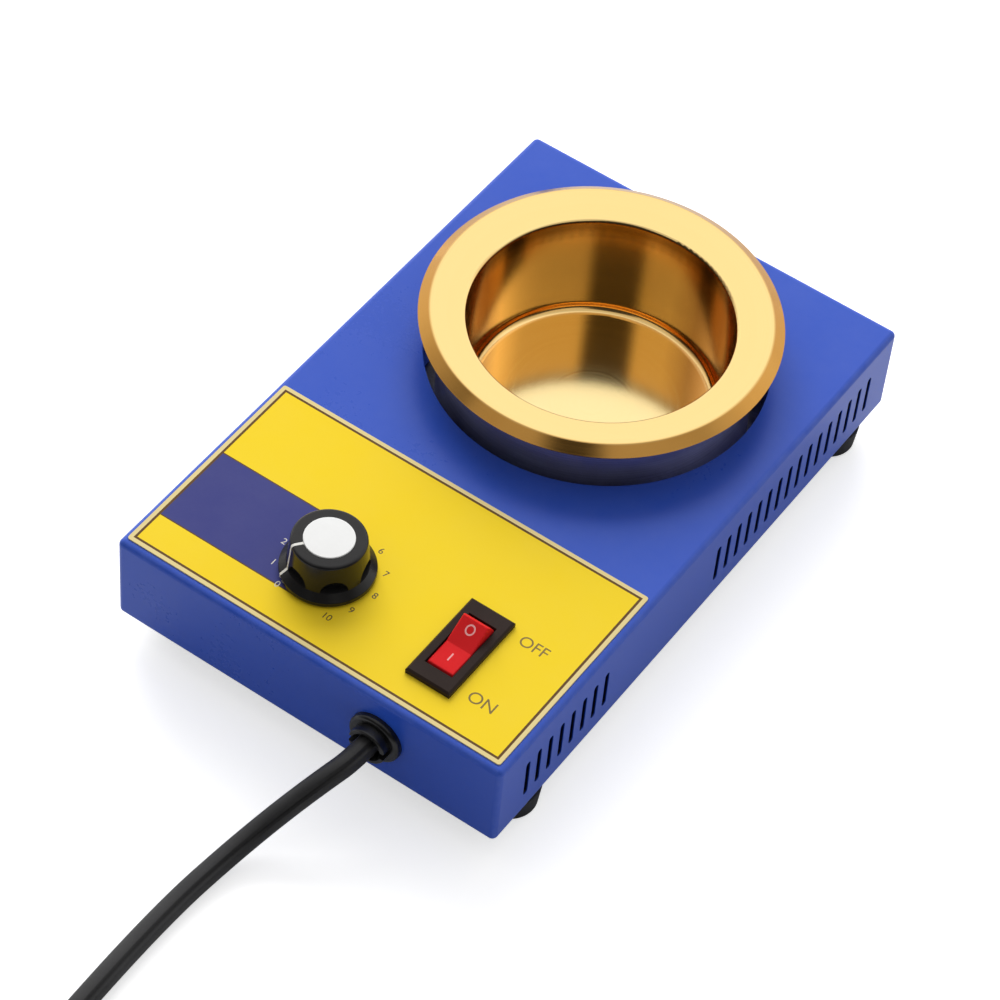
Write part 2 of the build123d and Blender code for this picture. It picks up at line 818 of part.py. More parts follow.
# Rocker switch: housing with its frame, rocker on two pins, three terminals
pivot_z = label_top - pivot_depth
frame_top = label_top + bezel_height
cavity_width = rocker_width + 2 * rocker_side_clearance
cavity_length = 2 * (rocker_radius + rocker_end_clearance)
rocker_drop = rocker_radius * math.sin(math.radians(rocker_skirt_angle + rocker_tilt))
cavity_floor = pivot_z - rocker_drop - rocker_floor_clearance
housing_bottom = label_top - housing_depth
with BuildPart() as switch_housing:
    with BuildSketch(switch_plane.offset(label_top)):
        Rectangle(bezel_width, bezel_length)
    extrude(amount=bezel_height)
    chamfer(switch_housing.faces().sort_by(Axis.Z)[-1].edges(), bezel_chamfer)
    with BuildSketch(switch_plane.offset(housing_bottom)):
        Rectangle(housing_width, housing_length)
    extrude(amount=housing_depth)
    with BuildSketch(switch_plane.offset(cavity_floor)):
        Rectangle(cavity_width, cavity_length)
    extrude(amount=frame_top - cavity_floor, mode=Mode.SUBTRACT)
    with BuildSketch(Plane.YZ.offset(switch_x)):
        with Locations((control_y, pivot_z)):
            Circle(pin_radius + pin_clearance)
    extrude(amount=rocker_width / 2 + pin_length + pin_clearance, both=True, mode=Mode.SUBTRACT)
switch_housing.part.label = "switch_housing"
export_step(switch_housing.part, "parts/switch_housing.step")

# The rocker's ends are arcs round its pins; its top is a shallow valley
crest_angle = math.asin((rocker_valley + rocker_radius * math.sin(math.radians(rocker_tilt))) / rocker_radius)
crest_y = rocker_radius * math.cos(crest_angle)
crest_z = rocker_valley + crest_y * math.tan(math.radians(rocker_tilt))
skirt_y = rocker_radius * math.cos(math.radians(rocker_skirt_angle))
skirt_z = -rocker_radius * math.sin(math.radians(rocker_skirt_angle))
rocker_side = Plane(origin=(switch_x, control_y, pivot_z), x_dir=(0, 1, 0), z_dir=(1, 0, 0))
with BuildPart() as switch_rocker:
    with BuildSketch(rocker_side.rotated((rocker_tilt, 0, 0), ordering=Extrinsic.XYZ)):
        with BuildLine():
            Polyline((-crest_y, crest_z), (0, rocker_valley), (crest_y, crest_z))
            ThreePointArc((crest_y, crest_z), (rocker_radius, 0), (skirt_y, skirt_z))
            Line((skirt_y, skirt_z), (-skirt_y, skirt_z))
            ThreePointArc((-skirt_y, skirt_z), (-rocker_radius, 0), (-crest_y, crest_z))
        make_face()
    extrude(amount=rocker_width / 2, both=True)
    rocker_tops = switch_rocker.faces().filter_by(GeomType.PLANE).sort_by(Axis.Z)[-2:]
    rim_edges = [edge for top in rocker_tops for edge in top.edges() if abs(edge.center().Y - control_y) > crest_y / 4]
    fillet(rim_edges, rocker_fillet)
    with BuildSketch(rocker_side):
        Circle(pin_radius)
    extrude(amount=rocker_width / 2 + pin_length, both=True)
switch_rocker.part.label = "switch_rocker"
export_step(switch_rocker.part, "parts/switch_rocker.step")

with BuildPart() as switch_terminals:
    with BuildSketch(switch_plane.offset(housing_bottom)):
        with GridLocations(0, terminal_pitch, 1, terminal_count):
            Rectangle(terminal_width, terminal_thickness)
    extrude(amount=-terminal_length)
switch_terminals.part.label = "switch_terminals"
export_step(switch_terminals.part, "parts/switch_terminals.step")

# Control board on four pressed-in standoffs
board_bottom = plate_top + standoff_height
board_top = board_bottom + board_thickness
with BuildPart() as board_standoffs:
    with BuildSketch(Plane.XY.offset(plate_top)):
        with Locations(*board_points):
            Circle(standoff_radius)
            Circle(screw_radius + thread_clearance, mode=Mode.SUBTRACT)
    extrude(amount=standoff_height)
    with BuildSketch(Plane.XY.offset(plate_bottom)):
        with Locations(*board_points):
            Circle(standoff_stub_radius)
            Circle(screw_radius + thread_clearance, mode=Mode.SUBTRACT)
    extrude(amount=plate_sheet)
board_standoffs.part.label = "board_standoffs"
export_step(board_standoffs.part, "parts/board_standoffs.step")

with BuildPart() as board_screws:
    with BuildSketch(Plane.XY.offset(board_top)):
        with Locations(*board_points):
            Circle(screw_head_radius)
    extrude(amount=screw_head_height)
    with BuildSketch(Plane.XY.offset(board_top)):
        with Locations(*board_points):
            Circle(screw_radius)
    extrude(amount=-board_screw_length)
    with BuildSketch(Plane.XY.offset(board_top + screw_head_height)):
        with Locations(*board_points):
            add(drive_cross.sketch)
    extrude(amount=-drive_depth, mode=Mode.SUBTRACT)
board_screws.part.label = "board_screws"
export_step(board_screws.part, "parts/board_screws.step")

with BuildPart() as control_board:
    with BuildSketch(Plane.XY.offset(board_bottom)):
        with Locations((board_x, board_y)):
            Rectangle(board_width, board_length)
        with Locations(*board_points):
            Circle(screw_hole_radius, mode=Mode.SUBTRACT)
    extrude(amount=board_thickness)
control_board.part.label = "control_board"
export_step(control_board.part, "parts/control_board.step")

# Parts on the board
sink_left = board_left + board_hole_inset + screw_head_radius + sink_screw_gap
sink_width = -heater_ways * block_pitch / 2 - sink_block_gap - sink_left
sink_x = sink_left + sink_width / 2
sink_back = board_back - sink_back_inset
sink_front = sink_back - fin_depth - sink_base
with BuildPart() as heat_sink:
    with BuildSketch(Plane.XY.offset(board_top)):
        with Locations((sink_x, sink_front + sink_base / 2)):
            Rectangle(sink_width, sink_base)
        with Locations((sink_x, sink_back - fin_depth / 2)):
            with GridLocations((sink_width - fin_thickness) / (fin_count - 1), 0, fin_count, 1):
                Rectangle(fin_thickness, fin_depth)
    extrude(amount=sink_height)
heat_sink.part.label = "heat_sink"
export_step(heat_sink.part, "parts/heat_sink.step")

with BuildPart() as triac:
    with BuildSketch(Plane.XY.offset(board_top + triac_lift)):
        with Locations((sink_x, sink_front - triac_depth / 2)):
            Rectangle(triac_width, triac_depth)
    extrude(amount=triac_height)
    with BuildSketch(Plane.XY.offset(board_top)):
        with Locations((sink_x, sink_front - triac_depth / 2)):
            with GridLocations(triac_leg_pitch, 0, 3, 1):
                Rectangle(triac_leg_width, triac_leg_width)
    extrude(amount=triac_lift)
triac.part.label = "triac"
export_step(triac.part, "parts/triac.step")

capacitor_x = board_right - block_depth - capacitor_gap - capacitor_width / 2
capacitor_y = sink_front - triac_depth - capacitor_triac_gap - capacitor_length / 2
with BuildPart() as filter_capacitor:
    with BuildSketch(Plane.XY.offset(board_top)):
        with Locations((capacitor_x, capacitor_y)):
            Rectangle(capacitor_width, capacitor_length)
    extrude(amount=capacitor_height)
    chamfer(filter_capacitor.faces().sort_by(Axis.Z)[-1].edges(), capacitor_chamfer)
filter_capacitor.part.label = "filter_capacitor"
export_step(filter_capacitor.part, "parts/filter_capacitor.step")

choke_x = capacitor_x - capacitor_width / 2 - choke_gap - choke_radius - choke_section
with BuildPart() as filter_choke:
    with Locations((choke_x, choke_y, board_top + choke_section)):
        Torus(choke_radius, choke_section)
filter_choke.part.label = "filter_choke"
export_step(filter_choke.part, "parts/filter_choke.step")

# Mains block at the right edge of the board, heater block at its back edge
entry_z = board_top + block_height / 3
with BuildPart() as terminal_block:
    with BuildSketch(Plane.XY.offset(board_top)):
        with Locations((board_right - block_depth / 2, block_y)):
            Rectangle(block_depth, mains_ways * block_pitch)
    extrude(amount=block_height)
    with BuildSketch(Plane.YZ.offset(board_right)):
        with Locations((block_y, entry_z)):
            with GridLocations(block_pitch, 0, mains_ways, 1):
                Rectangle(block_entry_width, block_entry)
    extrude(amount=-block_depth / 2, mode=Mode.SUBTRACT)
    with BuildSketch(Plane.XY.offset(board_top + block_height)):
        with Locations((board_right - block_depth / 2, block_y)):
            with GridLocations(0, block_pitch, 1, mains_ways):
                Circle(block_entry / 2)
    extrude(amount=-block_height / 4, mode=Mode.SUBTRACT)
terminal_block.part.label = "terminal_block"
export_step(terminal_block.part, "parts/terminal_block.step")

with BuildPart() as heater_block:
    with BuildSketch(Plane.XY.offset(board_top)):
        with Locations((0, board_back - block_depth / 2)):
            Rectangle(heater_ways * block_pitch, block_depth)
    extrude(amount=block_height)
    with BuildSketch(Plane.XZ.offset(-board_back)):
        with Locations((0, entry_z)):
            with GridLocations(block_pitch, 0, heater_ways, 1):
                Rectangle(block_entry_width, block_entry)
    extrude(amount=block_depth / 2, mode=Mode.SUBTRACT)
    with BuildSketch(Plane.XY.offset(board_top + block_height)):
        with Locations((0, board_back - block_depth / 2)):
            with GridLocations(block_pitch, 0, heater_ways, 1):
                Circle(block_entry / 2)
    extrude(amount=-block_height / 4, mode=Mode.SUBTRACT)
heater_block.part.label = "heater_block"
export_step(heater_block.part, "parts/heater_block.step")

# Earth point: a screw through the base plate, a ring terminal and a nut
with BuildPart() as earth_screw:
    with BuildSketch(Plane((earth_x, earth_y, plate_bottom - screw_head_height))):
        Circle(screw_head_radius)
    extrude(amount=screw_head_height)
    with BuildSketch(Plane((earth_x, earth_y, plate_bottom))):
        Circle(screw_radius)
    extrude(amount=plate_sheet + ring_thickness + nut_height + screw_tip)
    with BuildSketch(Plane((earth_x, earth_y, plate_bottom - screw_head_height))):
        add(drive_cross.sketch)
    extrude(amount=drive_depth, mode=Mode.SUBTRACT)
earth_screw.part.label = "earth_screw"
export_step(earth_screw.part, "parts/earth_screw.step")

with BuildPart() as earth_nut:
    with BuildSketch(Plane((earth_x, earth_y, plate_top + ring_thickness))):
        RegularPolygon(nut_flats / 2, 6, major_radius=False)
        Circle(screw_radius + thread_clearance, mode=Mode.SUBTRACT)
    extrude(amount=nut_height)
earth_nut.part.label = "earth_nut"
export_step(earth_nut.part, "parts/earth_nut.step")

crimp_z = plate_top + crimp_radius + thread_clearance
crimp_front = earth_y - tongue_length - crimp_length
with BuildPart() as earth_terminal:
    with BuildSketch(Plane((earth_x, earth_y, plate_top))):
        Circle(ring_radius)
        with Locations((0, -tongue_length / 2)):
            Rectangle(2 * crimp_radius, tongue_length)
        Circle(screw_hole_radius, mode=Mode.SUBTRACT)
    extrude(amount=ring_thickness)
    with BuildSketch(Plane(origin=(earth_x, crimp_front, crimp_z), z_dir=(0, 1, 0))):
        Circle(crimp_radius)
    extrude(amount=crimp_length + ring_thickness)
    with BuildSketch(Plane(origin=(earth_x, crimp_front, crimp_z), z_dir=(0, 1, 0))):
        Circle(core_radius + thread_clearance)
    extrude(amount=crimp_depth, mode=Mode.SUBTRACT)
earth_terminal.part.label = "earth_terminal"
export_step(earth_terminal.part, "parts/earth_terminal.step")

# Insulated receptacles pushed onto the switch terminals
receptacle_bottom = housing_bottom - receptacle_gap - receptacle_height
with BuildPart() as terminal_sleeves:
    with BuildSketch(switch_plane.offset(receptacle_bottom)):
        with GridLocations(0, terminal_pitch, 1, terminal_count):
            Rectangle(receptacle_width, receptacle_thickness)
    extrude(amount=receptacle_height)
    with BuildSketch(switch_plane.offset(housing_bottom - terminal_length - receptacle_clearance)):
        with GridLocations(0, terminal_pitch, 1, terminal_count):
            Rectangle(
                terminal_width + 2 * receptacle_clearance,
                terminal_thickness + 2 * receptacle_clearance,
            )
    extrude(amount=terminal_length, mode=Mode.SUBTRACT)
terminal_sleeves.part.label = "terminal_sleeves"
export_step(terminal_sleeves.part, "parts/terminal_sleeves.step")

# Leads: the cord's three cores, the switched lead and the lamp's neutral
core_y = front_y + bushing_inner_length + cord_tail_inside
cord_z = case_bottom + cord_rise
core_starts = []
for angle in core_angles:
    core_x = cord_x + core_circle * math.cos(math.radians(angle))
    core_starts.append(Vector(core_x, core_y, cord_z + core_circle * math.sin(math.radians(angle))))
neutral_start, live_start, earth_start = core_starts
lead_z = housing_bottom - receptacle_lead_drop
receptacle_left = switch_x - receptacle_width / 2
receptacle_right = switch_x + receptacle_width / 2
rear_terminal_y = control_y + terminal_pitch
front_terminal_y = control_y - terminal_pitch
neutral_way_y = block_y - block_pitch
lamp_way_y = block_y + block_pitch
seat_x = board_right - lead_seat

live_route = [
    live_start,
    live_start + Vector(0, 5.25, 0),
    Vector(switch_x - 11.3, control_y - 5.0, lead_z + 1.7),
    Vector(switch_x - 10.1, control_y, lead_z),
    Vector(receptacle_left, control_y, lead_z),
]
neutral_bend = neutral_start + Vector(0, 5.75, 0)
neutral_reach = neutral_way_y - neutral_bend.Y
neutral_route = [
    neutral_start,
    neutral_bend,
    Vector(board_right + 5.6, neutral_bend.Y + 0.3 * neutral_reach, cord_z),
    Vector(board_right + 4.0, neutral_bend.Y + 0.65 * neutral_reach, entry_z + 1.8),
    Vector(board_right + 4.0, neutral_way_y, entry_z),
    Vector(seat_x, neutral_way_y, entry_z),
]
lamp_corner_y = front_terminal_y + 0.58 * (lamp_way_y - front_terminal_y)
lamp_route = [
    Vector(receptacle_right, front_terminal_y, lead_z),
    Vector(receptacle_right + 8.2, front_terminal_y, lead_z),
    Vector(receptacle_right + 8.2, lamp_corner_y, lead_z),
    Vector(switch_x + 0.9, lamp_way_y, entry_z),
    Vector(seat_x, lamp_way_y, entry_z),
]
switched_route = [
    Vector(receptacle_left, rear_terminal_y, lead_z),
    Vector(receptacle_left - 3.7, rear_terminal_y, lead_z),
    Vector(board_right + 6.5, block_y, entry_z),
    Vector(seat_x, block_y, entry_z),
]
earth_route = [
    earth_start,
    earth_start + Vector(0, 4.25, 0),
    Vector(earth_x + 3.0, core_y + 7.25, 17.5),
    Vector(earth_x, core_y + 11.25, crimp_z),
    Vector(earth_x, crimp_front + crimp_depth - thread_clearance, crimp_z),
]
core_leads = {
    "live_lead": [live_route],
    "switched_lead": [switched_route],
    "neutral_leads": [neutral_route, lamp_route],
    "earth_lead": [earth_route],
}
for lead_name, lead_routes in core_leads.items():
    with BuildPart() as core_lead:
        for lead_route in lead_routes:
            with BuildLine():
                FilletPolyline(*lead_route, radius=bend_radii(lead_route))
            with BuildSketch(Plane(origin=lead_route[0], z_dir=lead_route[1] - lead_route[0])):
                Circle(core_radius)
            sweep()
    core_lead.part.label = lead_name
    export_step(core_lead.part, f"parts/{lead_name}.step")

# Heater leads from the sleeve, through the grommet, to the block on the board's back edge
lead_offset = heater_lead_spacing / 2
sleeve_radius = cup_outer_radius(lead_hole_z) + heater_clearance + heater_thickness + seat_clearance
sleeve_y = pot_y - math.sqrt(sleeve_radius**2 - (lead_offset - heater_lead_radius) ** 2)
with BuildPart() as heater_leads:
    for side in (-1, 1):
        heater_route = [
            Vector(side * lead_offset, sleeve_y, lead_hole_z),
            Vector(side * lead_offset, grommet_face - 1.0, lead_hole_z),
            Vector(side * block_pitch / 2, board_back + 1.5, entry_z),
            Vector(side * block_pitch / 2, board_back - lead_seat, entry_z),
        ]
        with BuildLine():
            FilletPolyline(*heater_route, radius=bend_radii(heater_route))
        with BuildSketch(Plane(origin=heater_route[0], z_dir=heater_route[1] - heater_route[0])):
            Circle(heater_lead_radius)
        sweep()
heater_leads.part.label = "heater_leads"
export_step(heater_leads.part, "parts/heater_leads.step")

# Dial leads from the undersides of the lugs to the front of the board
lug_tip_y = control_y + control_radius + lug_length + lug_overlap / 2
lug_bottom = panel_under - control_height / 2
landing_y = board_y - board_length / 2 + 2.5
with BuildPart() as dial_leads:
    for lug in (-1, 0, 1):
        lug_x = dial_x + lug * lug_pitch
        dial_route = [
            Vector(lug_x, lug_tip_y - dial_lead_radius, lug_bottom),
            Vector(lug_x, lug_tip_y - dial_lead_radius, lug_bottom - 5.0),
            Vector(lug_x, landing_y, board_top + 5.0),
            Vector(lug_x, landing_y, board_top),
        ]
        with BuildLine():
            FilletPolyline(*dial_route, radius=bend_radii(dial_route))
        with BuildSketch(Plane(origin=dial_route[0], z_dir=dial_route[1] - dial_route[0])):
            Circle(dial_lead_radius)
        sweep()
dial_leads.part.label = "dial_leads"
export_step(dial_leads.part, "parts/dial_leads.step")

# Cord bushing pressed into the front wall
cord_radius = cord_diameter / 2
bushing_side = Plane(origin=(cord_x, front_y, cord_z), x_dir=(0, -1, 0), z_dir=(1, 0, 0))
bushing_axis = Axis((cord_x, front_y, cord_z), (0, -1, 0))
bore_radius = cord_radius + bore_clearance
nose_end = bushing_flange_thickness + bushing_nose_length
lug_start = case_sheet + neck_clearance
with BuildPart() as cord_bushing:
    with BuildSketch(bushing_side) as bushing_profile:
        with BuildLine():
            Polyline(
                (bushing_flange_thickness, bore_radius),
                (nose_end, bushing_mouth_radius),
                (nose_end, bushing_nose_radius),
                (bushing_flange_thickness, bushing_nose_radius),
                (bushing_flange_thickness, bushing_flange_radius),
                (0, bushing_flange_radius),
                (0, bushing_neck_radius),
                (-lug_start, bushing_neck_radius),
                (-lug_start, bushing_lug_radius),
                (-lug_start - bushing_lug_thickness, bushing_neck_radius),
                (-bushing_inner_length, bushing_neck_radius),
                (-bushing_inner_length, bore_radius),
                close=True,
            )
        make_face()
        fillet(nearest_corner(bushing_profile, bushing_flange_thickness, bushing_flange_radius), bushing_edge_radius)
        fillet(nearest_corner(bushing_profile, nose_end, bushing_nose_radius), bushing_rim_radius)
    revolve(axis=bushing_axis)
    with BuildSketch(Plane((cord_x, front_y - bushing_flange_thickness, cord_z), (1, 0, 0), (0, -1, 0))):
        Rectangle(2 * bushing_flange_radius, bushing_slot_width)
    extrude(amount=bushing_nose_length, mode=Mode.SUBTRACT)
cord_bushing.part.label = "cord_bushing"
export_step(cord_bushing.part, "parts/cord_bushing.step")

# Cord: straight runs joined by arcs, then a coil, a short tail and a plug
outer_turn_radius = coil_middle_radius + (coil_columns - 1) / 2 * cord_diameter
route = [
    Vector(cord_x, core_y, cord_z),
    Vector(25.0, -110.5, cord_z),
    Vector(21.2, -120.0, 21.6),
    Vector(15.8, -128.8, 14.2),
    Vector(11.2, -138.2, 7.6),
    Vector(8.2, -149.5, 4.0),
    Vector(6.6, -164.0, cord_radius),
    Vector(6.2, -184.0, cord_radius),
    Vector(6.6, -206.0, cord_radius),
    Vector(coil_x - outer_turn_radius, -228.5, cord_radius),
    Vector(coil_x - outer_turn_radius, coil_y, cord_radius),
]

run_radii = bend_radii(route)
print("cord radii", [round(radius, 1) for radius in run_radii])
with BuildPart() as cord_run:
    with BuildLine() as run_path:
        FilletPolyline(*route, radius=run_radii)
    with BuildSketch(Plane(origin=route[0], z_dir=route[1] - route[0])):
        Circle(cord_radius)
    sweep()
cord_section = math.pi * cord_radius**2
run_length = run_path.wires()[0].length
print("cord run length", round(run_length, 1), "volume ratio", cord_run.part.volume / (cord_section * run_length))
cord_run.part.label = "cord_run"
export_step(cord_run.part, "parts/cord_run.step")

coil_height = coil_rows * cord_diameter
with BuildPart() as cord_coil:
    with BuildSketch(Plane((coil_x, coil_y, 0))):
        Circle(coil_middle_radius + coil_columns / 2 * cord_diameter)
        Circle(coil_middle_radius - coil_columns / 2 * cord_diameter, mode=Mode.SUBTRACT)
    extrude(amount=coil_height)
    fillet(cord_coil.edges(), cord_radius * 0.8)
cord_coil.part.label = "cord_coil"
export_step(cord_coil.part, "parts/cord_coil.step")

plug_z = plug_height / 2
tail_y = coil_y - outer_turn_radius
tail_route = [
    Vector(coil_x, tail_y, coil_height - cord_radius),
    Vector(coil_x + 0.3 * tail_length, tail_y, coil_height - cord_radius),
    Vector(coil_x + 0.7 * tail_length, tail_y, plug_z),
    Vector(coil_x + tail_length, tail_y, plug_z),
]
with BuildPart() as cord_tail:
    with BuildLine() as tail_path:
        FilletPolyline(*tail_route, radius=bend_radii(tail_route))
    with BuildSketch(Plane(origin=tail_route[0], z_dir=tail_route[1] - tail_route[0])):
        Circle(cord_radius)
    sweep()
cord_tail.part.label = "cord_tail"
export_step(cord_tail.part, "parts/cord_tail.step")

# Plug with a tapered relief, two blades and a ground pin, lying on the floor
relief_x = coil_x + tail_length
plug_y = tail_y
body_x = relief_x + relief_length
face_x = body_x + plug_length
relief_plane = Plane(origin=(relief_x, plug_y, plug_z), z_dir=(1, 0, 0))
with BuildPart() as plug_body:
    with BuildSketch(relief_plane):
        Circle(relief_end_radius)
    with BuildSketch(relief_plane.offset(relief_length)):
        Circle(relief_start_radius)
    loft()
    with Locations((body_x + plug_length / 2, plug_y, plug_z)):
        Box(plug_length, plug_width, plug_height)
    box_edges = plug_body.edges().filter_by(Axis.X)
    fillet(box_edges, plug_edge_radius)
plug_body.part.label = "plug_body"
export_step(plug_body.part, "parts/plug_body.step")

with BuildPart() as plug_blades:
    with BuildSketch(Plane.YZ.offset(face_x)):
        for side in (-1, 1):
            with Locations((plug_y + side * blade_spacing / 2, plug_z - blade_drop / 2)):
                Rectangle(blade_thickness, blade_width)
    extrude(amount=blade_length)
    chamfer(plug_blades.faces().sort_by(Axis.X)[-2:].edges().filter_by(Axis.Z), blade_thickness * 0.3)
plug_blades.part.label = "plug_blades"
export_step(plug_blades.part, "parts/plug_blades.step")

with BuildPart() as plug_ground_pin:
    with BuildSketch(Plane.YZ.offset(face_x)):
        with Locations((plug_y, plug_z + ground_pin_offset)):
            Circle(ground_pin_radius)
    extrude(amount=ground_pin_length)
    fillet(plug_ground_pin.faces().sort_by(Axis.X)[-1].edges(), ground_pin_radius * 0.8)
plug_ground_pin.part.label = "plug_ground_pin"
export_step(plug_ground_pin.part, "parts/plug_ground_pin.step")
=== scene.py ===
# %% [markdown]
# # A solder pot: materials, print, cord and studio
#
# The solid shapes of this solder pot come from its CAD model. This script loads that model as a
# fixed frame, and gives it what a CAD model lacks: paint, metal, rubber and print, a mains cord
# that lies as a real one does, and a studio to be photographed in. Places are in the CAD model's
# own frame, so a new piece goes where the drawing says, with no fitting. Blender works in metres,
# so a length written in millimetres is multiplied by MM.

# %% Load the frame
import math

import bmesh
import bpy
from mathutils import Matrix, Vector


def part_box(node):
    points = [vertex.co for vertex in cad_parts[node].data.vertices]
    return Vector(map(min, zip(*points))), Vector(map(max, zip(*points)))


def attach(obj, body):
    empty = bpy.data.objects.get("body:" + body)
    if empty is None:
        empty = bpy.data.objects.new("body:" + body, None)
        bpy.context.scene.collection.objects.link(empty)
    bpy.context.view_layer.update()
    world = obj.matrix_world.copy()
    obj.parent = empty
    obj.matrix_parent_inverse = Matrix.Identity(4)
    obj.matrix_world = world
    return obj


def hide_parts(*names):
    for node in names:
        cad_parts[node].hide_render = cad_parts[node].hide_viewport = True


MM = 0.001
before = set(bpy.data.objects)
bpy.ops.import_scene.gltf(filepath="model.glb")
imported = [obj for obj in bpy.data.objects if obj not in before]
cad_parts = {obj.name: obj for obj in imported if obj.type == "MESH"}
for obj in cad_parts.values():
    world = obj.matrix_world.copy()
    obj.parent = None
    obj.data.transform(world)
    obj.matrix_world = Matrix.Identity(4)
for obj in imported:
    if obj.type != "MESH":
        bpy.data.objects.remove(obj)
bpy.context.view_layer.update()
scene = bpy.context.scene

# %% [markdown]
# ## The camera
#
# The photograph looks down on the pot from the front right. A camera can be turned by angles, but
# angles in three numbers are hard to read, so its three axes are worked out from the heading, the
# height and the roll, and go straight into its matrix. The lens is long, as in most catalogue
# photographs: the far end of the case is hardly smaller than the near one.

# %% Set up the camera
heading = math.radians(30.6547)
height_angle = math.radians(49.9741)
roll = math.radians(5.8502)
distance = 1059.81 * MM
target = Vector((9.98, -24.06, 40.3)) * MM

back = Vector((
    math.sin(heading) * math.cos(height_angle),
    -math.cos(heading) * math.cos(height_angle),
    math.sin(height_angle),
))
level = Vector((math.cos(heading), math.sin(heading), 0))
upright = back.cross(level)
right = math.cos(roll) * level + math.sin(roll) * upright
up = math.cos(roll) * upright - math.sin(roll) * level

camera_data = bpy.data.cameras.new("camera")
camera_data.sensor_fit = "HORIZONTAL"
camera_data.sensor_width = 36
camera_data.lens = 135.886
camera_data.clip_start = 0.05
camera_data.clip_end = 20
camera = bpy.data.objects.new("camera", camera_data)
scene.collection.objects.link(camera)
place = Matrix((right, up, back)).transposed().to_4x4()
place.translation = target + distance * back
camera.matrix_world = place
scene.camera = camera
print("camera at", [round(value, 3) for value in camera.location])

# %% [markdown]
# ## The mains cord
#
# The cord is one length of round three-core flex. It leaves the bushing in the front wall, sinks
# to the bench in its own length, and the rest is wound up beside the pot. A flex has one smooth
# centreline, so it is a NURBS curve whose control points are the route's corners: the curve
# rounds each corner by itself, as a bent flex does. The coil is more points of the same spline,
# worked out turn by turn: two layers of three lanes, each lane a cord's width from the next. The
# route is in millimetres.

# %% Lay out the cord's route
cord_diameter = 6.6
cord_points = [
    (25.0, -89.75, 25.0),
    (25.0, -110.5, 25.0),
    (21.2, -120.0, 21.6),
    (15.8, -128.8, 14.2),
    (11.2, -138.2, 7.6),
    (8.2, -149.5, 4.0),
    (6.6, -164.0, 3.3),
    (6.2, -184.0, 3.3),
    (6.6, -206.0, 3.3),
    (7.4, -228.5, 3.3),
]
coil_middle = (50.3, -249.5)
lanes = {"outer": 42.9, "middle": 36.3, "inner": 29.7}
floor_level = 3.3
top_level = 9.9
degrees_per_point = 20
turns = [
    (180, "outer", floor_level),
    (500, "outer", floor_level),
    (540, "middle", floor_level),
    (860, "middle", floor_level),
    (900, "inner", floor_level),
    (1180, "inner", floor_level),
    (1220, "inner", top_level),
    (1500, "inner", top_level),
    (1540, "middle", top_level),
    (1860, "middle", top_level),
    (1900, "outer", top_level),
    (2070, "outer", top_level),
]
tail_points = [
    (58.1, -292.4, 9.9),
    (68.5, -292.4, 11.0),
    (76.3, -292.4, 11.0),
]
for (start_turn, start_lane, start_level), (end_turn, end_lane, end_level) in zip(turns, turns[1:]):
    steps = max(2, round((end_turn - start_turn) / degrees_per_point))
    for step in range(steps):
        share = step / steps
        angle = math.radians(start_turn + share * (end_turn - start_turn))
        lane = (1 - share) * lanes[start_lane] + share * lanes[end_lane]
        cord_points.append((
            coil_middle[0] + lane * math.cos(angle),
            coil_middle[1] + lane * math.sin(angle),
            (1 - share) * start_level + share * end_level,
        ))
cord_points.append((coil_middle[0], coil_middle[1] - lanes["outer"], top_level))
cord_points += tail_points
print("the cord's route has", len(cord_points), "points")

# %% [markdown]
# A curve becomes a cord when it gets a round bevel. Its thickness is in the radius of its points,
# and the bevel depth is 1, because Blender adds that radius to the box of the curve: with the
# default radius of 1 the box would be metres wide. The plug at the far end is the CAD model's own.

# %% Sweep the cord
cord_curve = bpy.data.curves.new("mains_cord", "CURVE")
cord_curve.dimensions = "3D"
cord_curve.bevel_depth = 1.0
cord_curve.bevel_resolution = 5
cord_curve.resolution_u = 6
cord_curve.use_fill_caps = True
spline = cord_curve.splines.new("NURBS")
spline.points.add(len(cord_points) - 1)
for point, (x, y, z) in zip(spline.points, cord_points):
    point.co = (x * MM, y * MM, z * MM, 1)
    point.radius = cord_diameter / 2 * MM
spline.order_u = 3
spline.use_endpoint_u = True
mains_cord = bpy.data.objects.new("mains_cord", cord_curve)
scene.collection.objects.link(mains_cord)

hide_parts("cord_run", "cord_coil", "cord_tail")
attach(mains_cord, "base")

# %% [markdown]
# ## Helpers for materials
#
# A material is a small network of nodes. Written out in full, each node takes four or five lines,
# so a few short helpers do the repeated part: they fill a socket, add a node, do a sum, mix two
# colours by a mask, and stretch a value to another range. A colour is written here as it looks on
# a screen, from 0 to 255, and turned into the linear light values that Blender works with.

# %% Define the node helpers
def tint(red, green, blue):
    """A screen colour as linear light."""
    channels = []
    for value in (red, green, blue):
        share = value / 255
        channels.append(share / 12.92 if share <= 0.04045 else ((share + 0.055) / 1.055) ** 2.4)
    return (*channels, 1.0)


def feed(tree, socket, value):
    """Sets one socket, or links another node's output to it."""
    if isinstance(value, bpy.types.NodeSocket):
        tree.links.new(value, socket)
    else:
        socket.default_value = value


def add(tree, kind, **sockets):
    """Adds a node. Each named socket is set to a value, or linked to another node's output."""
    node = tree.nodes.new("ShaderNode" + kind)
    for name, value in sockets.items():
        feed(tree, node.inputs[name.replace("_", " ")], value)
    return node


def calc(tree, operation, *values):
    """The result of a sum such as ADD, MULTIPLY or LESS_THAN."""
    node = tree.nodes.new("ShaderNodeMath")
    node.operation = operation
    for socket, value in zip(node.inputs, values):
        feed(tree, socket, value)
    return node.outputs[0]


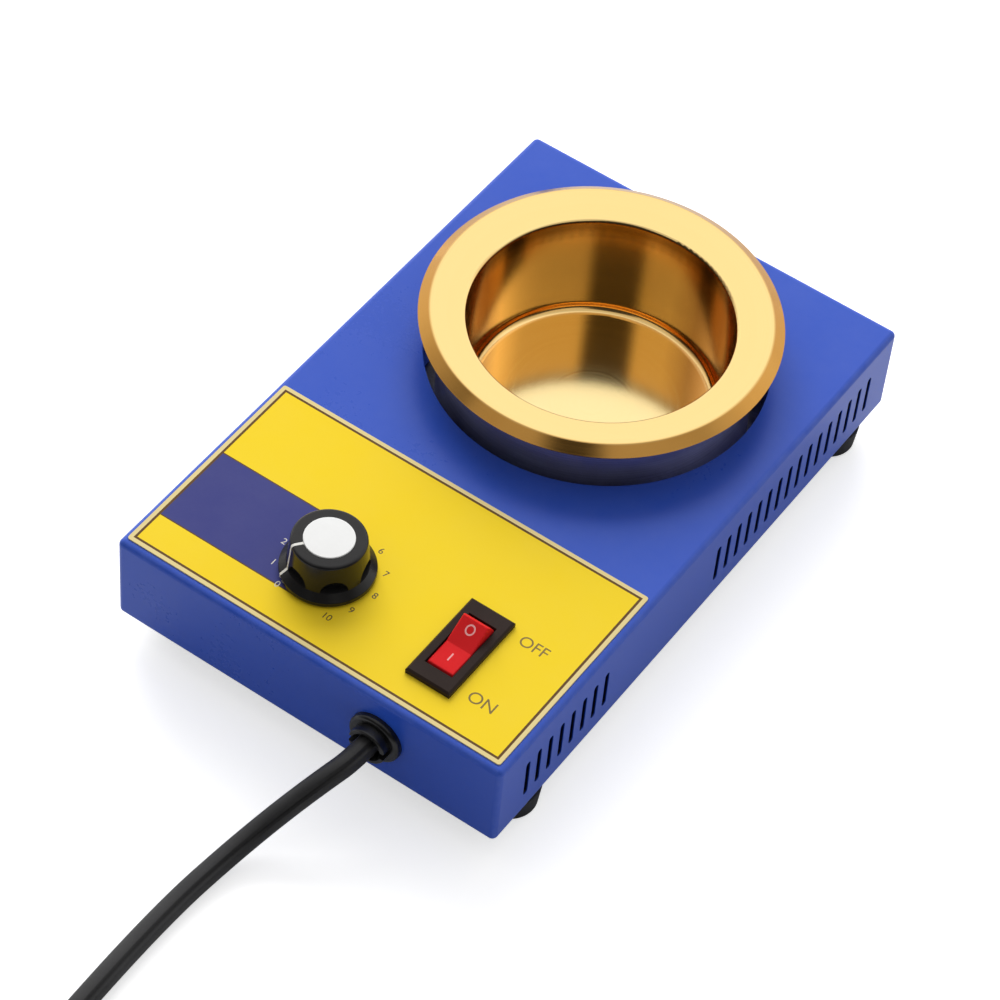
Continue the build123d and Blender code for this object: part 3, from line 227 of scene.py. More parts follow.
def mix(tree, mask, first, second):
    """The first colour where the mask is 0, the second where it is 1."""
    node = tree.nodes.new("ShaderNodeMix")
    node.data_type = "RGBA"
    feed(tree, node.inputs[0], mask)
    feed(tree, node.inputs[6], first)
    feed(tree, node.inputs[7], second)
    return node.outputs[2]


def fit(tree, value, low, high, new_low, new_high):
    """Stretches a value from one range to another, and stops it at the ends."""
    node = tree.nodes.new("ShaderNodeMapRange")
    for socket, number in zip(node.inputs, (value, low, high, new_low, new_high)):
        feed(tree, socket, number)
    return node.outputs[0]


def off_by(tree, value, middle):
    """How far a value is from a middle one, on either side."""
    return calc(tree, "ABSOLUTE", calc(tree, "SUBTRACT", value, middle))


# %% [markdown]
# Three effects come back in many finishes, so each is a node group, built once: a fine grain that
# breaks up colour, gloss and surface, a film of dust on the faces that look up, and a sharp-edged
# box for areas of print. A group has sockets of its own, like a bought part, and each material
# places it with its own numbers.

# %% Build the shared effects
def new_group(name, inputs, outputs):
    """An empty node group with named inputs and outputs, and the sockets of its two end nodes."""
    group = bpy.data.node_groups.new(name, "ShaderNodeTree")
    for socket_name, kind, value in inputs:
        socket = group.interface.new_socket(
            socket_name,
            in_out="INPUT",
            socket_type="NodeSocket" + kind,
        )
        if value is not None:
            socket.default_value = value
    for socket_name in outputs:
        group.interface.new_socket(socket_name, in_out="OUTPUT", socket_type="NodeSocketFloat")
    given = group.nodes.new("NodeGroupInput").outputs
    result = group.nodes.new("NodeGroupOutput").inputs
    return group, given, result


grain_group, given, result = new_group(
    "surface grain",
    [
        ("Vector", "Vector", None),
        ("Scale", "Float", 400.0),
        ("Cloud Scale", "Float", 30.0),
        ("Amount", "Float", 1.0),
    ],
    ["Tone", "Height"],
)
fine_share = 0.3
fine = add(grain_group, "TexNoise", Vector=given["Vector"], Scale=given["Scale"], Detail=3.0, Roughness=0.6)
cloud = add(grain_group, "TexNoise", Vector=given["Vector"], Scale=given["Cloud Scale"], Detail=4.0)
tone = calc(grain_group, "MULTIPLY", fine.outputs["Fac"], fine_share)
tone = calc(grain_group, "ADD", tone, cloud.outputs["Fac"])
tone = calc(grain_group, "SUBTRACT", tone, (1 + fine_share) / 2)
tone = calc(grain_group, "MULTIPLY", tone, given["Amount"])
feed(grain_group, result["Tone"], calc(grain_group, "ADD", tone, 0.5))
feed(grain_group, result["Height"], fine.outputs["Fac"])

dust_group, given, result = new_group(
    "dust film",
    [("Vector", "Vector", None), ("Normal", "Vector", None), ("Amount", "Float", 0.1)],
    ["Mask"],
)
facing = add(dust_group, "SeparateXYZ", Vector=given["Normal"])
patches = add(dust_group, "TexNoise", Vector=given["Vector"], Scale=55.0, Detail=6.0, Roughness=0.7)
upward = fit(dust_group, facing.outputs["Z"], 0.3, 1.0, 0.0, 1.0)
settled = calc(dust_group, "MULTIPLY", upward, patches.outputs["Fac"])
feed(dust_group, result["Mask"], calc(dust_group, "MULTIPLY", settled, given["Amount"]))

field_group, given, result = new_group(
    "print field",
    [
        ("Vector", "Vector", None),
        ("Centre X", "Float", 0.0),
        ("Centre Y", "Float", 0.0),
        ("Half Width", "Float", 0.01),
        ("Half Depth", "Float", 0.01),
    ],
    ["Mask"],
)
spot = add(field_group, "SeparateXYZ", Vector=given["Vector"])
across = off_by(field_group, spot.outputs["X"], given["Centre X"])
along = off_by(field_group, spot.outputs["Y"], given["Centre Y"])
within_width = calc(field_group, "LESS_THAN", across, given["Half Width"])
within_depth = calc(field_group, "LESS_THAN", along, given["Half Depth"])
feed(field_group, result["Mask"], calc(field_group, "MULTIPLY", within_width, within_depth))
print("effects:", [group.name for group in (grain_group, dust_group, field_group)])

# %% [markdown]
# Every finish starts from the same empty material and ends on the slots of its pieces. Relief is
# given by its depth in millimetres, as a real surface is measured, and the bump node turns it into
# light and shade without new geometry.

# %% Define how a finish starts and how it is put on
def place_group(tree, group, **sockets):
    """Places a shared effect in a material."""
    node = tree.nodes.new("ShaderNodeGroup")
    node.node_tree = group
    for name, value in sockets.items():
        feed(tree, node.inputs[name.replace("_", " ")], value)
    return node


def new_finish(name, **constants):
    """A material with one shader. Returns the material, its tree, its shader and its coordinates."""
    material = bpy.data.materials.new(name)
    material.use_nodes = True
    tree = material.node_tree
    shader = tree.nodes["Principled BSDF"]
    for socket, value in constants.items():
        shader.inputs[socket.replace("_", " ")].default_value = value
    return material, tree, shader, tree.nodes.new("ShaderNodeTexCoord").outputs


def bump(tree, shader, height, depth, strength=1.0):
    """Makes a height pattern of that depth, in millimetres, show as relief."""
    node = add(tree, "Bump", Strength=strength, Distance=depth * MM, Height=height)
    feed(tree, shader.inputs["Normal"], node.outputs["Normal"])


def coat(material, *nodes):
    """Puts a finish on CAD nodes."""
    for name in nodes:
        for material_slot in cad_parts[name].material_slots:
            material_slot.material = material


# %% [markdown]
# ## The painted case
#
# The case is thin steel sheet, folded and stoved in a blue enamel. Such paint has a faint orange
# peel, a gloss that isn't even, and it wears thin on the folds, where the blue goes paler. The
# mask for the folds comes from the position: a fold is where two of the case's planes meet. The
# cut edges of the vents and the inner faces of the side walls lie just inside the walls' outer
# faces, and there the paint is nearly black as painted shade, so that the vents read as openings.

# %% Paint the case
case_low, case_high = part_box("case_cover")
case_centre = [(low + high) / 2 for low, high in zip(case_low, case_high)]
case_half = [(high - low) / 2 for low, high in zip(case_low, case_high)]
fold_reach = 1.4 * MM
vent_edge_start = 0.1 * MM
vent_edge_full = 0.4 * MM
vent_margin = 3 * MM
paint, tree, shader, coords = new_finish("blue stove enamel", Specular_IOR_Level=0.3)
grain = place_group(tree, grain_group, Vector=coords["Object"], Scale=520.0, Cloud_Scale=14.0, Amount=0.6)
base = mix(tree, grain.outputs["Tone"], tint(34, 76, 188), tint(44, 88, 202))
spot = add(tree, "SeparateXYZ", Vector=coords["Object"])
gaps = []
nearness = []
for axis in range(3):
    gaps.append(calc(tree, "SUBTRACT", case_half[axis], off_by(tree, spot.outputs[axis], case_centre[axis])))
    nearness.append(fit(tree, gaps[axis], 0.0, fold_reach, 1.0, 0.0))
folds = calc(tree, "MULTIPLY", nearness[0], nearness[2])
folds = calc(tree, "MAXIMUM", folds, calc(tree, "MULTIPLY", nearness[1], nearness[2]))
folds = calc(tree, "MAXIMUM", folds, calc(tree, "MULTIPLY", nearness[0], nearness[1]))
chips = add(tree, "TexNoise", Vector=coords["Object"], Scale=220.0, Detail=5.0)
worn = calc(tree, "MULTIPLY", folds, fit(tree, chips.outputs["Fac"], 0.35, 0.7, 0.1, 0.45))
base = mix(tree, worn, base, tint(120, 140, 214))
# Painted shade: more than a tenth of a millimetre inside the side walls' outer faces, the paint turns
# near-black blue for the dark inside the case.
vent_painted_shade = fit(tree, gaps[0], vent_edge_start, vent_edge_full, 0.0, 1.0)
for gap in gaps[1:]:
    vent_painted_shade = calc(tree, "MULTIPLY", vent_painted_shade, calc(tree, "GREATER_THAN", gap, vent_margin))
base = mix(tree, vent_painted_shade, base, tint(10, 14, 40))
dust = place_group(tree, dust_group, Vector=coords["Object"], Normal=coords["Normal"], Amount=0.06)
feed(tree, shader.inputs["Base Color"], mix(tree, dust.outputs["Mask"], base, tint(200, 200, 205)))
feed(tree, shader.inputs["Roughness"], fit(tree, grain.outputs["Tone"], 0.0, 1.0, 0.24, 0.32))
bump(tree, shader, grain.outputs["Height"], 0.004)
coat(paint, "case_cover")
print("painted the case, half sizes", [round(value, 4) for value in case_half])

# %% [markdown]
# ## The printed label
#
# The label is one film with its colours printed side by side: a cream margin, a thin dark line, a
# yellow field and a blue band that runs to the dial between two thin lines. Each area is a box in
# the material, read from the position on the panel, so no picture file is needed.

# %% Print the label
label_low, label_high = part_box("control_label")
label_half = [(high - low) / 2 for low, high in zip(label_low, label_high)]
line_inset = 1.25 * MM
line_width = 0.75 * MM
band_front = -86.85 * MM
band_rear = -58.85 * MM
band_line_width = 0.4 * MM
dial_x = -12.8 * MM
controls_y = -74.25 * MM
film, tree, shader, coords = new_finish("printed label film", Specular_IOR_Level=0.15)
grain = place_group(tree, grain_group, Vector=coords["Object"], Scale=1500.0, Cloud_Scale=18.0, Amount=0.8)


def field(tree, coords, x_low, x_high, y_low, y_high):
    """The mask of one printed area, given by its two sides and its two ends."""
    node = place_group(tree, field_group, Vector=coords["Object"])
    node.inputs["Centre X"].default_value = (x_low + x_high) / 2
    node.inputs["Centre Y"].default_value = (y_low + y_high) / 2
    node.inputs["Half Width"].default_value = (x_high - x_low) / 2
    node.inputs["Half Depth"].default_value = (y_high - y_low) / 2
    return node.outputs["Mask"]


sides = (label_low[0] + line_inset, label_high[0] - line_inset)
ends = (label_low[1] + line_inset, label_high[1] - line_inset)
ink = mix(tree, grain.outputs["Tone"], tint(254, 214, 24), tint(255, 224, 36))
within_line = field(tree, coords, sides[0], sides[1], ends[0], ends[1])
within_field = field(
    tree, coords, sides[0] + line_width, sides[1] - line_width, ends[0] + line_width, ends[1] - line_width
)
band_line = field(tree, coords, sides[0], dial_x, band_front - band_line_width, band_rear + band_line_width)
band = field(tree, coords, sides[0] + line_width, dial_x, band_front, band_rear)
line_brown = tint(96, 66, 30)
band_blue = mix(tree, grain.outputs["Tone"], tint(54, 58, 124), tint(64, 68, 136))
colour = mix(tree, within_line, tint(236, 216, 152), line_brown)
colour = mix(tree, within_field, colour, ink)
colour = mix(tree, band_line, colour, line_brown)
colour = mix(tree, band, colour, band_blue)
dust = place_group(tree, dust_group, Vector=coords["Object"], Normal=coords["Normal"], Amount=0.04)
feed(tree, shader.inputs["Base Color"], mix(tree, dust.outputs["Mask"], colour, tint(235, 232, 225)))
feed(tree, shader.inputs["Roughness"], fit(tree, grain.outputs["Tone"], 0.0, 1.0, 0.38, 0.5))
bump(tree, shader, grain.outputs["Height"], 0.006)
coat(film, "control_label")
print("label", [round(2 * value, 4) for value in label_half])

# %% [markdown]
# ## The lettering
#
# The figures round the dial and the two words at the switch are ink on the film. Drawn as shapes
# rather than as a picture, they stay sharp at any distance. Text becomes a mesh first, and only
# then is it moved to its place, so that its object stays at the origin like all the others. The
# figures that fall on the blue band are pale, and the rest are brown.

# %% Set the lettering
ink_level = label_high[2] + 0.01 * MM
capital_share = 0.7


def lettering(name, words, material):
    """Flat printed text. Each word is (text, x, y, capital height), in millimetres."""
    shape = bmesh.new()
    for text, x, y, height in words:
        font_curve = bpy.data.curves.new(name, "FONT")
        font_curve.body = text
        font_curve.size = height / capital_share * MM
        font_curve.align_x = "CENTER"
        font_curve.align_y = "CENTER"
        carrier = bpy.data.objects.new(name, font_curve)
        word_mesh = bpy.data.meshes.new_from_object(carrier)
        word = bmesh.new()
        word.from_mesh(word_mesh)
        bmesh.ops.translate(word, verts=word.verts, vec=(x * MM, y * MM, ink_level))
        placed = bpy.data.meshes.new(name)
        word.to_mesh(placed)
        shape.from_mesh(placed)
        word.free()
        bpy.data.objects.remove(carrier)
    mesh = bpy.data.meshes.new(name)
    shape.to_mesh(mesh)
    shape.free()
    mesh.materials.append(material)
    piece = bpy.data.objects.new(name, mesh)
    scene.collection.objects.link(piece)
    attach(piece, "base")
    print(name, "has", len(mesh.polygons), "faces")


def ink_finish(name, dark, light):
    """Printing ink that varies a little in strength."""
    material, tree, shader, coords = new_finish(name, Coat_Weight=0.3, Coat_Roughness=0.12)
    grain = place_group(
        tree, grain_group, Vector=coords["Object"], Scale=2200.0, Cloud_Scale=120.0, Amount=1.6
    )
    feed(tree, shader.inputs["Base Color"], mix(tree, grain.outputs["Tone"], dark, light))
    feed(tree, shader.inputs["Roughness"], fit(tree, grain.outputs["Tone"], 0.0, 1.0, 0.4, 0.5))
    return material


brown_ink = ink_finish("brown ink", tint(58, 40, 26), tint(84, 60, 36))
olive_ink = ink_finish("olive ink", tint(110, 90, 30), tint(136, 112, 44))
pale_ink = ink_finish("pale ink", tint(205, 200, 190), tint(232, 226, 214))

figure_count = 11
top_figure = 5
figure_step = 30
figure_height = 2.15
figures_x = dial_x / MM - 0.3
figures_y = controls_y / MM + 0.5
two_digit_shift = 1.9
on_band = []
on_yellow = []
for figure in range(figure_count):
    angle = math.radians(figure_step * (figure - top_figure))
    figure_radius = 15.2 if figure < top_figure else 16.0
    x = figures_x + figure_radius * math.sin(angle)
    y = figures_y + figure_radius * math.cos(angle)
    if figure >= 10:
        x += two_digit_shift
    words = on_band if figure < top_figure else on_yellow
    words.append((str(figure), x, y, figure_height))
lettering("dial_figures_light", on_band, pale_ink)
lettering("dial_figures_dark", on_yellow, brown_ink)
lettering("switch_words", [("OFF", 47.5, -61.4, 3.7), ("ON", 47.2, -85.4, 3.9)], olive_ink)

# %% [markdown]
# ## The gold crucible
#
# The pot is spun steel with a hard golden coating. Spinning leaves fine rings round its axis, and
# the coating shows them as thin lines of tone. The steep wall is straw, with soft upright bands of
# amber painted on it as painted reflections of the studio in the gold. The turned-down lip is
# painted deeper than the flange as painted shade, the floor is painted paler than the wall as painted
# light, and a thin dark line of painted shade marks the edge of the mouth. The patterns turn about
# the pot's own axis, so the first step is to measure from there: each part of the dish has its own
# range of radii, and a mask is a soft step between two of them.

# %% Measure the dish from its axis
pot_y = 39.5 * MM
floor_edge = 35.2 * MM
wall_foot = 37.4 * MM
mouth_radius = 39.1 * MM
lip_start = 49.4 * MM
lip_full = 50.2 * MM


def around(tree, coords, centre):
    """Distance from an upright axis, and the position as seen from that axis."""
    moved = add(tree, "Mapping", Vector=coords["Object"], Location=(-centre[0], -centre[1], 0))
    spot = add(tree, "SeparateXYZ", Vector=moved.outputs[0]).outputs
    square_x = calc(tree, "POWER", spot["X"], 2.0)
    square_y = calc(tree, "POWER", spot["Y"], 2.0)
    return calc(tree, "SQRT", calc(tree, "ADD", square_x, square_y)), spot


def painted_reflection_band(tree, turned, middle, half, soft):
    """A soft upright band of painted reflection on the wall: its middle, half width and soft edge in degrees.
    """
    return fit(tree, off_by(tree, turned, middle), half - soft, half + soft, 1.0, 0.0)


gold, tree, shader, coords = new_finish("gold hard coating", Metallic=1.0)
radius, spot = around(tree, coords, (0, pot_y))
radius_in_mm = calc(tree, "MULTIPLY", radius, 1 / MM)
height_in_mm = calc(tree, "MULTIPLY", spot["Z"], 1 / MM)
ring_place = add(tree, "CombineXYZ", X=radius_in_mm, Y=height_in_mm)
rings = add(tree, "TexNoise", Vector=ring_place.outputs[0], Scale=3.2, Detail=4.0, Roughness=0.65)
clouds = add(tree, "TexNoise", Vector=coords["Object"], Scale=45.0, Detail=3.0)
in_bowl = fit(tree, radius, mouth_radius - 0.3 * MM, mouth_radius + 1.1 * MM, 1.0, 0.0)
on_wall = calc(tree, "MULTIPLY", in_bowl, fit(tree, radius, floor_edge, wall_foot, 0.0, 1.0))
on_lip = fit(tree, radius, lip_start, lip_full, 0.0, 1.0)
# Painted shade: the mask of a thin dark line at the edge of the mouth.
mouth_edge_painted_shade = fit(tree, off_by(tree, radius, mouth_radius), 0.1 * MM, 0.3 * MM, 1.0, 0.0)
print("the dish is measured out to", round(lip_full / MM, 1), "mm")

# %% [markdown]
# The painted reflections, bands of amber, follow the angle round the axis, and a slow noise makes
# their sides wander by up to eight degrees. Then the tones go on one over the other, from the broad
# ones to the thin line of painted shade.

# %% Gild the crucible
wander = 8.0
turned = calc(tree, "MULTIPLY", calc(tree, "ARCTAN2", spot["X"], spot["Y"]), 180 / math.pi)
turned = calc(tree, "ADD", turned, calc(tree, "MULTIPLY", clouds.outputs["Fac"], wander))
# Painted reflection: two upright bands of amber on the wall stand in for reflections of the studio in the
# gold.
left_painted_reflection = painted_reflection_band(tree, turned, -91.0, 9.0, 5.0)
far_painted_reflection = painted_reflection_band(tree, turned, 32.0, 17.0, 7.0)
painted_reflection_mask = calc(tree, "MULTIPLY", calc(tree, "MAXIMUM", left_painted_reflection, far_painted_reflection), 0.6)

warm = mix(tree, rings.outputs["Fac"], tint(240, 206, 132), tint(250, 222, 154))
straw = mix(tree, rings.outputs["Fac"], tint(240, 182, 94), tint(250, 198, 114))
# Painted light: the bowl's floor is painted paler than the straw wall.
pale = mix(tree, rings.outputs["Fac"], tint(244, 216, 150), tint(252, 230, 172))
painted_reflection_colour = mix(tree, clouds.outputs["Fac"], tint(132, 72, 18), tint(168, 100, 34))
# Painted shade: the turned-down lip gets a deeper tone than the flange.
lip_painted_shade = mix(tree, clouds.outputs["Fac"], tint(186, 132, 60), tint(210, 158, 82))
colour = mix(tree, in_bowl, warm, mix(tree, on_wall, pale, straw))
colour = mix(tree, calc(tree, "MULTIPLY", on_wall, painted_reflection_mask), colour, painted_reflection_colour)
colour = mix(tree, calc(tree, "MULTIPLY", mouth_edge_painted_shade, 0.7), colour, tint(92, 60, 20))
colour = mix(tree, on_lip, colour, lip_painted_shade)
feed(tree, shader.inputs["Base Color"], colour)
feed(tree, shader.inputs["Roughness"], fit(tree, rings.outputs["Fac"], 0.2, 0.8, 0.1, 0.18))
bump(tree, shader, rings.outputs["Fac"], 0.012, 0.5)
coat(gold, "crucible")
print("gilded the crucible")

# %% [markdown]
# ## Bare metals
#
# The heater's barrel is polished stainless steel, tinted blue as painted reflection of the blue
# case, the base plate and the screws are zinc-plated, and the inner parts are plain sheet, aluminium
# and brass. They share one recipe: a metal whose tone and gloss are broken up by a fine grain that is
# drawn out in the direction of working. Each call gives two tones, the roughness at each of them, the
# stretch on three axes and the relief's depth in millimetres, and then the pieces.

# %% Finish the bare metals
def metal(name, dark, light, rough, smooth, stretch, depth, *nodes, metallic=1.0):
    """A worked metal. The grain is drawn out by a different scale on each axis."""
    material, tree, shader, coords = new_finish(name, Metallic=metallic)
    drawn = add(tree, "Mapping", Vector=coords["Object"], Scale=stretch)
    lines = add(tree, "TexNoise", Vector=drawn.outputs[0], Scale=1.0, Detail=5.0, Roughness=0.65)
    clouds = add(tree, "TexNoise", Vector=coords["Object"], Scale=35.0, Detail=3.0)
    tone = calc(tree, "MULTIPLY", calc(tree, "ADD", lines.outputs["Fac"], clouds.outputs["Fac"]), 0.5)
    low = 0.35
    high = 0.65
    feed(tree, shader.inputs["Base Color"], mix(tree, fit(tree, tone, low, high, 0.0, 1.0), dark, light))
    feed(tree, shader.inputs["Roughness"], fit(tree, tone, low, high, rough, smooth))
    bump(tree, shader, lines.outputs["Fac"], depth)
    coat(material, *nodes)


# Painted reflection: the barrel's steel is tinted blue, and only partly metallic, for the blue case it
# reflects.
metal(
    "barrel steel with painted blue reflection", tint(134, 138, 196), tint(174, 178, 230), 0.44, 0.32, (30, 30, 3000), 0.02,
    "heater_barrel", metallic=0.6,
)
metal(
    "zinc-plated sheet", tint(150, 152, 154), tint(196, 198, 200), 0.5, 0.34, (40, 900, 900), 0.02,
    "base_plate",
)
metal(
    "zinc-plated fastener", tint(148, 150, 152), tint(206, 206, 208), 0.42, 0.26, (900, 900, 900), 0.02,
    "foot_screws", "foot_nuts", "base_screws", "board_screws", "board_standoffs", "stud_nut", "stud_washer",
    "crucible_stud", "barrel_spacer", "knob_set_screw", "dial_nut", "dial_washer", "earth_screw", "earth_nut",
)
metal(
    "clamp sheet", tint(120, 120, 122), tint(168, 168, 170), 0.5, 0.36, (60, 60, 1400), 0.03,
    "heater_clamp",
)
metal(
    "dial metal", tint(150, 150, 146), tint(198, 198, 192), 0.4, 0.26, (700, 700, 700), 0.02,
    "dial_control", "dial_shaft",
)
metal(
    "tinned brass", tint(190, 164, 96), tint(226, 202, 138), 0.36, 0.22, (500, 500, 900), 0.02,
    "switch_terminals", "dial_lugs", "plug_blades", "plug_ground_pin", "earth_terminal",
)
metal(
    "drawn aluminium", tint(176, 178, 182), tint(222, 223, 226), 0.44, 0.3, (900, 900, 40), 0.03,
    "heat_sink",
)
print("metals done")

# %% [markdown]
# ## Mouldings, rubber and wire
#
# Moulded plastic copies the fine texture of its mould, and rubber is duller and picks up dust.
# Both get the shared grain and dust at their own scales. Each call gives two tones, the roughness
# at each of them, the grain's scale, the relief's depth in millimetres and the share of dust, and
# then the pieces.

# %% Finish the mouldings
def moulding(name, dark, light, rough, smooth, scale, depth, dusty, *nodes, **constants):
    """A moulded finish: grain in colour, gloss and relief, with a film of dust."""
    material, tree, shader, coords = new_finish(name, **constants)
    grain = place_group(tree, grain_group, Vector=coords["Object"], Scale=scale, Cloud_Scale=60.0, Amount=1.2)
    dust = place_group(tree, dust_group, Vector=coords["Object"], Normal=coords["Normal"], Amount=dusty)
    colour = mix(tree, grain.outputs["Tone"], dark, light)
    feed(tree, shader.inputs["Base Color"], mix(tree, dust.outputs["Mask"], colour, tint(176, 172, 166)))
    feed(tree, shader.inputs["Roughness"], fit(tree, grain.outputs["Tone"], 0.0, 1.0, rough, smooth))
    bump(tree, shader, grain.outputs["Height"], depth)
    coat(material, *nodes)


moulding(
    "foot rubber", tint(20, 20, 22), tint(36, 36, 38), 0.8, 0.66, 1400.0, 0.05, 0.1,
    "foot_1", "foot_2", "foot_3", "foot_4",
)
moulding("cord rubber", tint(26, 26, 28), tint(42, 42, 44), 0.56, 0.44, 1100.0, 0.04, 0.08, "plug_body")
moulding("bushing nylon", tint(7, 7, 8), tint(17, 17, 18), 0.34, 0.24, 1300.0, 0.03, 0.02, "cord_bushing")
moulding(
    "switch housing", tint(40, 30, 27), tint(54, 43, 39), 0.46, 0.36, 1600.0, 0.02, 0.02,
    "switch_housing", Specular_IOR_Level=0.1,
)
moulding("board resin", tint(24, 84, 40), tint(38, 112, 56), 0.5, 0.36, 700.0, 0.02, 0.05, "control_board")
moulding(
    "component black", tint(22, 22, 24), tint(40, 40, 42), 0.6, 0.5, 1200.0, 0.03, 0.05,
    "triac", "filter_choke",
)
moulding(
    "capacitor yellow", tint(214, 160, 40), tint(234, 184, 62), 0.5, 0.4, 900.0, 0.02, 0.05,
    "filter_capacitor",
)
moulding(
    "terminal green", tint(38, 120, 66), tint(56, 146, 84), 0.5, 0.4, 900.0, 0.02, 0.05,
    "terminal_block", "heater_block",
)
moulding(
    "ceramic and mica", tint(206, 200, 184), tint(232, 227, 214), 0.8, 0.66, 600.0, 0.06, 0.0,
    "insulation_disc", "heater_sleeve", "lead_grommet",
)
moulding(
    "shroud red", tint(176, 34, 28), tint(206, 52, 42), 0.44, 0.32, 900.0, 0.02, 0.02,
    "terminal_sleeves",
)
moulding("wire white", tint(206, 204, 196), tint(232, 230, 222), 0.8, 0.7, 2400.0, 0.1, 0.02, "heater_leads")
moulding(
    "wire brown", tint(84, 46, 26), tint(108, 62, 38), 0.5, 0.4, 900.0, 0.02, 0.02,
    "live_lead", "switched_lead",
)
moulding("wire blue", tint(40, 84, 170), tint(60, 108, 196), 0.5, 0.4, 900.0, 0.02, 0.02, "neutral_leads")
moulding("wire grey", tint(120, 120, 124), tint(146, 146, 150), 0.5, 0.4, 900.0, 0.02, 0.02, "dial_leads")
moulding("cap white", tint(238, 238, 236), tint(250, 250, 249), 0.4, 0.3, 900.0, 0.01, 0.0, "knob_cap")

# %% [markdown]
# The cord's jacket is the same rubber, but it shows a shallow groove on each side, where it has
# sunk in between the cores. A swept curve has coordinates of its own that run along it and round
# it, so the groove is a stripe at two places round the cord, let into the surface and darkened with
# painted shade. The places and widths are shares of one turn round the cord.

# %% Groove the cord's jacket
groove_turn = 0.075
half_way_between = 0.25
groove_flat = 0.008
groove_reach = 0.05
groove_depth = 0.5
grain_in_relief = 0.08
jacket, tree, shader, coords = new_finish("cord jacket", Specular_IOR_Level=0.4)
grain = place_group(tree, grain_group, Vector=coords["Object"], Scale=1100.0, Cloud_Scale=60.0, Amount=1.2)
round_cord = add(tree, "SeparateXYZ", Vector=coords["UV"])
from_first = calc(tree, "SUBTRACT", round_cord.outputs["Y"], groove_turn)
from_groove = calc(tree, "PINGPONG", from_first, half_way_between)
groove_and_painted_shade = fit(tree, from_groove, groove_flat, groove_reach, 1.0, 0.0)
colour = mix(tree, grain.outputs["Tone"], tint(28, 28, 30), tint(44, 44, 46))
dust = place_group(tree, dust_group, Vector=coords["Object"], Normal=coords["Normal"], Amount=0.06)
colour = mix(tree, dust.outputs["Mask"], colour, tint(176, 172, 166))
# Painted shade: the groove is painted near black, besides being let into the surface by the bump.
colour = mix(tree, calc(tree, "MULTIPLY", groove_and_painted_shade, 0.85), colour, tint(5, 5, 6))
feed(tree, shader.inputs["Base Color"], colour)
feed(tree, shader.inputs["Roughness"], fit(tree, grain.outputs["Tone"], 0.0, 1.0, 0.54, 0.42))
fine_relief = calc(tree, "MULTIPLY", grain.outputs["Height"], grain_in_relief)
bump(tree, shader, calc(tree, "SUBTRACT", fine_relief, groove_and_painted_shade), groove_depth)
mains_cord.data.materials.append(jacket)
print("the cord has", len(mains_cord.data.materials), "material")

# %% [markdown]
# The earth core is green with a yellow stripe that winds round it. A stripe is a wave laid
# across the wire at a slant, cut to two colours.

# %% Stripe the earth core
earth, tree, shader, coords = new_finish("wire green and yellow", Roughness=0.45)
slanted = add(tree, "Mapping", Vector=coords["Object"], Rotation=(0.5, 0.0, 0.9))
wave = add(tree, "TexWave", Vector=slanted.outputs[0], Scale=70.0, Distortion=0.6)
stripe = fit(tree, wave.outputs["Fac"], 0.6, 0.66, 0.0, 1.0)
feed(tree, shader.inputs["Base Color"], mix(tree, stripe, tint(40, 128, 58), tint(222, 206, 66)))
bump(tree, shader, wave.outputs["Fac"], 0.01)
coat(earth, "earth_lead")
print("striped the earth core")

# %% [markdown]
# ## The knob and its pointer
#
# The knob is black and a little glossy. Its pointer is a line of white paint that runs from the
# cap over the edge and down the side. It is a narrow strip in the knob's own coordinates, so it
# turns with the knob. The angle is counted from the far side, clockwise as seen from above, like
# that of the figures, and at rest the pointer stands a little past the 0.

# %% Colour the knob
pointer_angle = math.radians(-142)
pointer_half_width = 0.42 * MM
pointer_start = 6.8 * MM
black, tree, shader, coords = new_finish("knob black", Specular_IOR_Level=0.3)
grain = place_group(tree, grain_group, Vector=coords["Object"], Scale=1500.0, Cloud_Scale=60.0, Amount=1.0)
dust = place_group(tree, dust_group, Vector=coords["Object"], Normal=coords["Normal"], Amount=0.05)
moved = add(tree, "Mapping", Vector=coords["Object"], Location=(-dial_x, -controls_y, 0))
turned = add(tree, "VectorRotate", Vector=moved.outputs[0], Angle=pointer_angle)
turned.rotation_type = "Z_AXIS"
spot = add(tree, "SeparateXYZ", Vector=turned.outputs[0])
narrow = calc(tree, "LESS_THAN", calc(tree, "ABSOLUTE", spot.outputs["X"]), pointer_half_width)
outside = calc(tree, "GREATER_THAN", spot.outputs["Y"], pointer_start)
line = calc(tree, "MULTIPLY", narrow, outside)
colour = mix(tree, grain.outputs["Tone"], tint(16, 16, 18), tint(34, 33, 34))
colour = mix(tree, dust.outputs["Mask"], colour, tint(150, 146, 140))
feed(tree, shader.inputs["Base Color"], mix(tree, line, colour, tint(236, 234, 228)))
feed(tree, shader.inputs["Roughness"], fit(tree, grain.outputs["Tone"], 0.0, 1.0, 0.26, 0.16))
bump(tree, shader, grain.outputs["Height"], 0.01)
coat(black, "knob_body")
print("the pointer stands at", round(math.degrees(pointer_angle)), "degrees")

# %% [markdown]
# ## The rocker
#
# The rocker is red translucent plastic with two printed marks: a ring at the far end for off and a
# stroke at the near end for on. Both are masks in the rocker's own coordinates, so they tilt with
# it.

